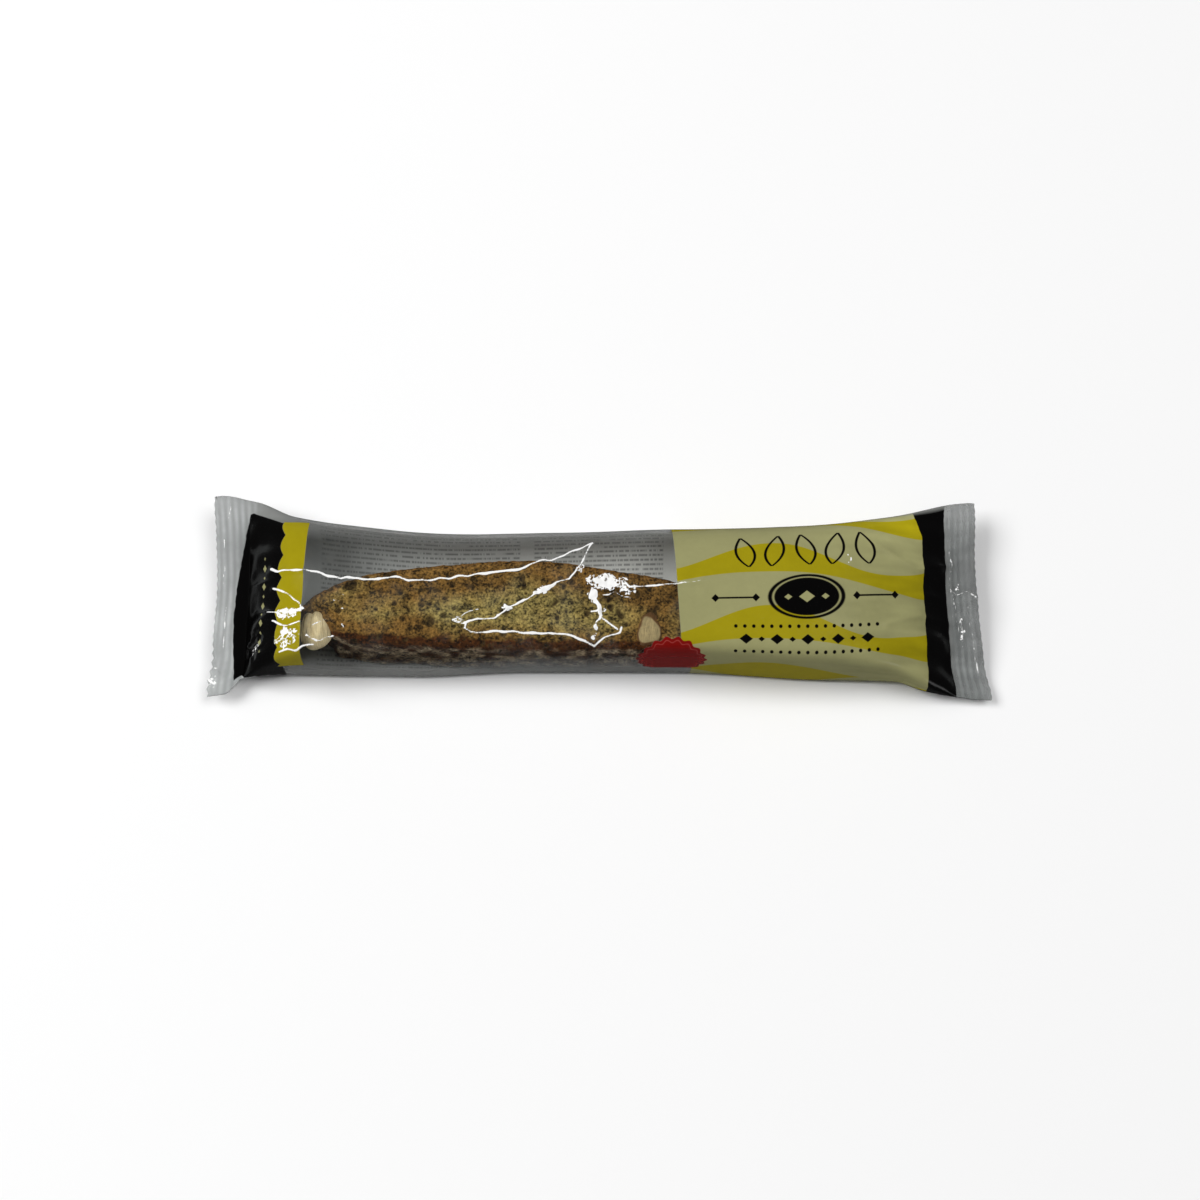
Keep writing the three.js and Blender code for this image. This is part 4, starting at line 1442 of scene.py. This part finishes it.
def baked_crumb():
    """Brown crumb with its heart, crust, base rim and base wall, the painted shade in its pores, and its
    specks laid over it in turn, and then made lighter and darker by three sizes of grain. The base wall is
    painted lighter, as painted light."""
    material, tree, shader = new_material("baked_crumb")
    names = ("crust", "pore", "base_wall", "base_rim", "heart")
    crust_mask, pore_mask, base_wall, base_rim, heart = (attribute(tree, name) for name in names)
    fine, patches = grain(tree, CRUMB_SCALE)
    specks, drifts = grain(tree, SPECK_SCALE)
    colour = paint(tree, CRUMB_BROWN, CRUMB_HEART, heart + drifts.swing(HEART_DRIFT))
    colour = paint(tree, colour, CRUST, (crust_mask + patches.swing(FRAY)).above(*CRUST_STEP))
    colour = paint(tree, colour, BASE_RIM, (base_rim + patches.swing(FRAY)).above(*BASE_RIM_STEP))
    # Painted light: the base's side wall is lighter than its crust
    colour = paint(tree, colour, BASE_WALL_LIT, base_wall)
    # Painted shade in the pores, and dark specks of nut skin
    pore_shade = (pore_mask + fine.swing(FRAY)).above(*PORE_SHADE_STEP) * PORE_SHADE_STRENGTH
    colour = paint(tree, colour, SPECK_AND_PORE_SHADE, pore_shade.high(specks.above(*SPECK_STEP) * SPECK_STRENGTH))
    mottled = fine.swing(MOTTLE_FINE) + specks.swing(MOTTLE_SPECKS) + patches.swing(MOTTLE_PATCHES) + 1.0
    colour = shade(tree, colour, mottled.high(DARKEST))
    tree.links.new(colour, shader.inputs["Base Color"])
    shader.inputs["Roughness"].default_value = CRUMB_ROUGHNESS
    shader.inputs["Specular IOR Level"].default_value = CRUMB_SHEEN
    tree.links.new(bump_from(tree, fine, CRUMB_BUMP), shader.inputs["Normal"])
    return material


biscotto.data.materials.append(baked_crumb())
print("crumb finish with", len(biscotto.data.materials[0].node_tree.nodes), "nodes")

# %% [markdown]
# ## Nut flesh
# A cut almond is ivory, with faint darker fibres that run along it, and a thin brown skin round its edge. The
# one that the knife cut through is more toasted than the one at the broken end. Each nut could have a
# material of its own, but the points carry how toasted they are, so one material serves both.

# %% Almond finish
NUT_PALE = (0.7, 0.59, 0.345)
NUT_WARM = (0.5, 0.38, 0.18)
NUT_TOASTED = (0.27, 0.215, 0.105)
NUT_SKIN = (0.11, 0.055, 0.02)
FIBRE_WIDTH, FIBRE_LENGTH, FIBRE_DETAIL, FIBRE_SHADE = 0.4, 3.0, 2.0, 0.9
NUT_SCALE, WARM_STEP, WARM_STRENGTH = 900.0, (0.56, 0.25), 0.7
NUT_ROUGHNESS, NUT_ROUGHNESS_SWING, NUT_BUMP = 0.4, 0.3, 0.0003


def fibres(tree):
    """Noise stretched along the nut: places across it and along it, each divided by the size of a fibre."""
    across = attribute(tree, "sideways") / FIBRE_WIDTH
    along = attribute(tree, "lengthwise") / FIBRE_LENGTH
    return stretched_noise(tree, across, along, FIBRE_DETAIL)


def nut_flesh():
    """Pale or toasted flesh with warm patches, shaded by the fibres, with its skin over it."""
    material, tree, shader = new_material("nut_flesh")
    mottle, clouds = grain(tree, NUT_SCALE)
    streaks = fibres(tree)
    warm = (mottle * 0.5 + clouds * 0.5).above(*WARM_STEP) * WARM_STRENGTH
    colour = paint(tree, NUT_PALE, NUT_TOASTED, attribute(tree, "toasted"))
    colour = paint(tree, colour, NUT_WARM, warm)
    colour = shade(tree, colour, streaks.swing(FIBRE_SHADE) + 1.0)
    colour = paint(tree, colour, NUT_SKIN, attribute(tree, "skin"))
    tree.links.new(colour, shader.inputs["Base Color"])
    tree.links.new((mottle * NUT_ROUGHNESS_SWING + NUT_ROUGHNESS).socket, shader.inputs["Roughness"])
    tree.links.new(bump_from(tree, streaks, NUT_BUMP), shader.inputs["Normal"])
    return material


nut_finish = nut_flesh()
for nut in nuts:
    nut.data.materials.append(nut_finish)
print("nut finish with", len(nut_finish.node_tree.nodes), "nodes on", len(nuts), "nuts")

# %% [markdown]
# ## Floor, camera and light
# The pack lies on a plain pale floor. The camera looks down at it from about 70 degrees, from half a metre.
# A soft light high on the left throws the shadow to the right. A weaker one on the right and a broad one
# above soften that shadow. Two small lights show only in reflections: the film's gloss finds one on each
# side. A studio picture could light it all at once, but separate lights can be set one at a time. Lengths
# from here on are metres, as Blender has them.

# %% Floor
FLOOR_SIZE, FLOOR_GREY, FLOOR_ROUGHNESS, FLOOR_SHEEN = 3.0, 0.925, 0.9, 0.1
floor_mesh = bpy.data.meshes.new("floor")
reach = FLOOR_SIZE / 2
floor_corners = [(-reach, -reach, 0), (reach, -reach, 0), (reach, reach, 0), (-reach, reach, 0)]
floor_mesh.from_pydata(floor_corners, [], [(0, 1, 2, 3)])
floor = bpy.data.objects.new("floor", floor_mesh)
bpy.context.scene.collection.objects.link(floor)
floor_material, _, floor_shader = new_material("pale_floor")
floor_shader.inputs["Base Color"].default_value = (FLOOR_GREY, FLOOR_GREY, FLOOR_GREY, 1)
floor_shader.inputs["Roughness"].default_value = FLOOR_ROUGHNESS
floor_shader.inputs["Specular IOR Level"].default_value = FLOOR_SHEEN
floor_mesh.materials.append(floor_material)
print(f"floor {FLOOR_SIZE} m square")

# %% Camera
# Only the sensor and the lens are in millimetres
ELEVATION, AZIMUTH = math.radians(70), math.radians(0.55)
CAMERA_DISTANCE = 0.51
FRAME_WIDTH = 0.2873
TARGET = Vector((0.0002, -0.0018, 0.010))
SENSOR = 36.0
level_part = math.cos(ELEVATION)
view_back = Vector((level_part * math.sin(AZIMUTH), -level_part * math.cos(AZIMUTH), math.sin(ELEVATION)))
camera_data = bpy.data.cameras.new("camera")
camera_data.sensor_width = SENSOR
camera_data.lens = SENSOR * CAMERA_DISTANCE / FRAME_WIDTH
camera = bpy.data.objects.new("camera", camera_data)
camera.location = TARGET + CAMERA_DISTANCE * view_back
camera.rotation_euler = view_back.to_track_quat("Z", "Y").to_euler()
bpy.context.scene.collection.objects.link(camera)
bpy.context.scene.camera = camera
bpy.context.scene.view_settings.view_transform = "Standard"
print(f"camera lens {camera_data.lens:.1f} mm")

# %% Lights
# Name, direction, distance, size, power in watts
LAMPS = [
    ("key", (-0.9, 0.12, 1.0), 2.0, 1.1, 34.0),
    ("fill", (0.5, 0.12, 1.0), 2.0, 1.1, 17.0),
    ("sky", (0.0, 0.0, 1.0), 1.5, 3.0, 4.5),
]
GLOSS_LAMPS = [
    ("gloss_left", (-0.75, -0.6, 0.3), 1.0, 0.3, 0.4),
    ("gloss_right", (0.75, -0.6, 0.3), 1.0, 0.3, 0.4),
]
STUDIO_STRENGTH = 0.045


def area_light(name, direction, distance, size, power):
    """A square light that faces the pack from a direction."""
    data = bpy.data.lights.new(name, "AREA")
    data.size = size
    data.energy = power
    lamp = bpy.data.objects.new(name, data)
    heading = Vector(direction).normalized()
    lamp.location = TARGET + distance * heading
    lamp.rotation_euler = heading.to_track_quat("Z", "Y").to_euler()
    lamp.visible_camera = False
    bpy.context.scene.collection.objects.link(lamp)
    return lamp


for lamp_values in LAMPS:
    area_light(*lamp_values).visible_glossy = False
for lamp_values in GLOSS_LAMPS:
    area_light(*lamp_values).visible_diffuse = False
floor.visible_glossy = False
world = bpy.data.worlds.new("studio")
world.use_nodes = True
world.node_tree.nodes["Background"].inputs["Color"].default_value = (1, 1, 1, 1)
world.node_tree.nodes["Background"].inputs["Strength"].default_value = STUDIO_STRENGTH
bpy.context.scene.world = world
print(len(LAMPS), "lamps,", len(GLOSS_LAMPS), "more for reflections")
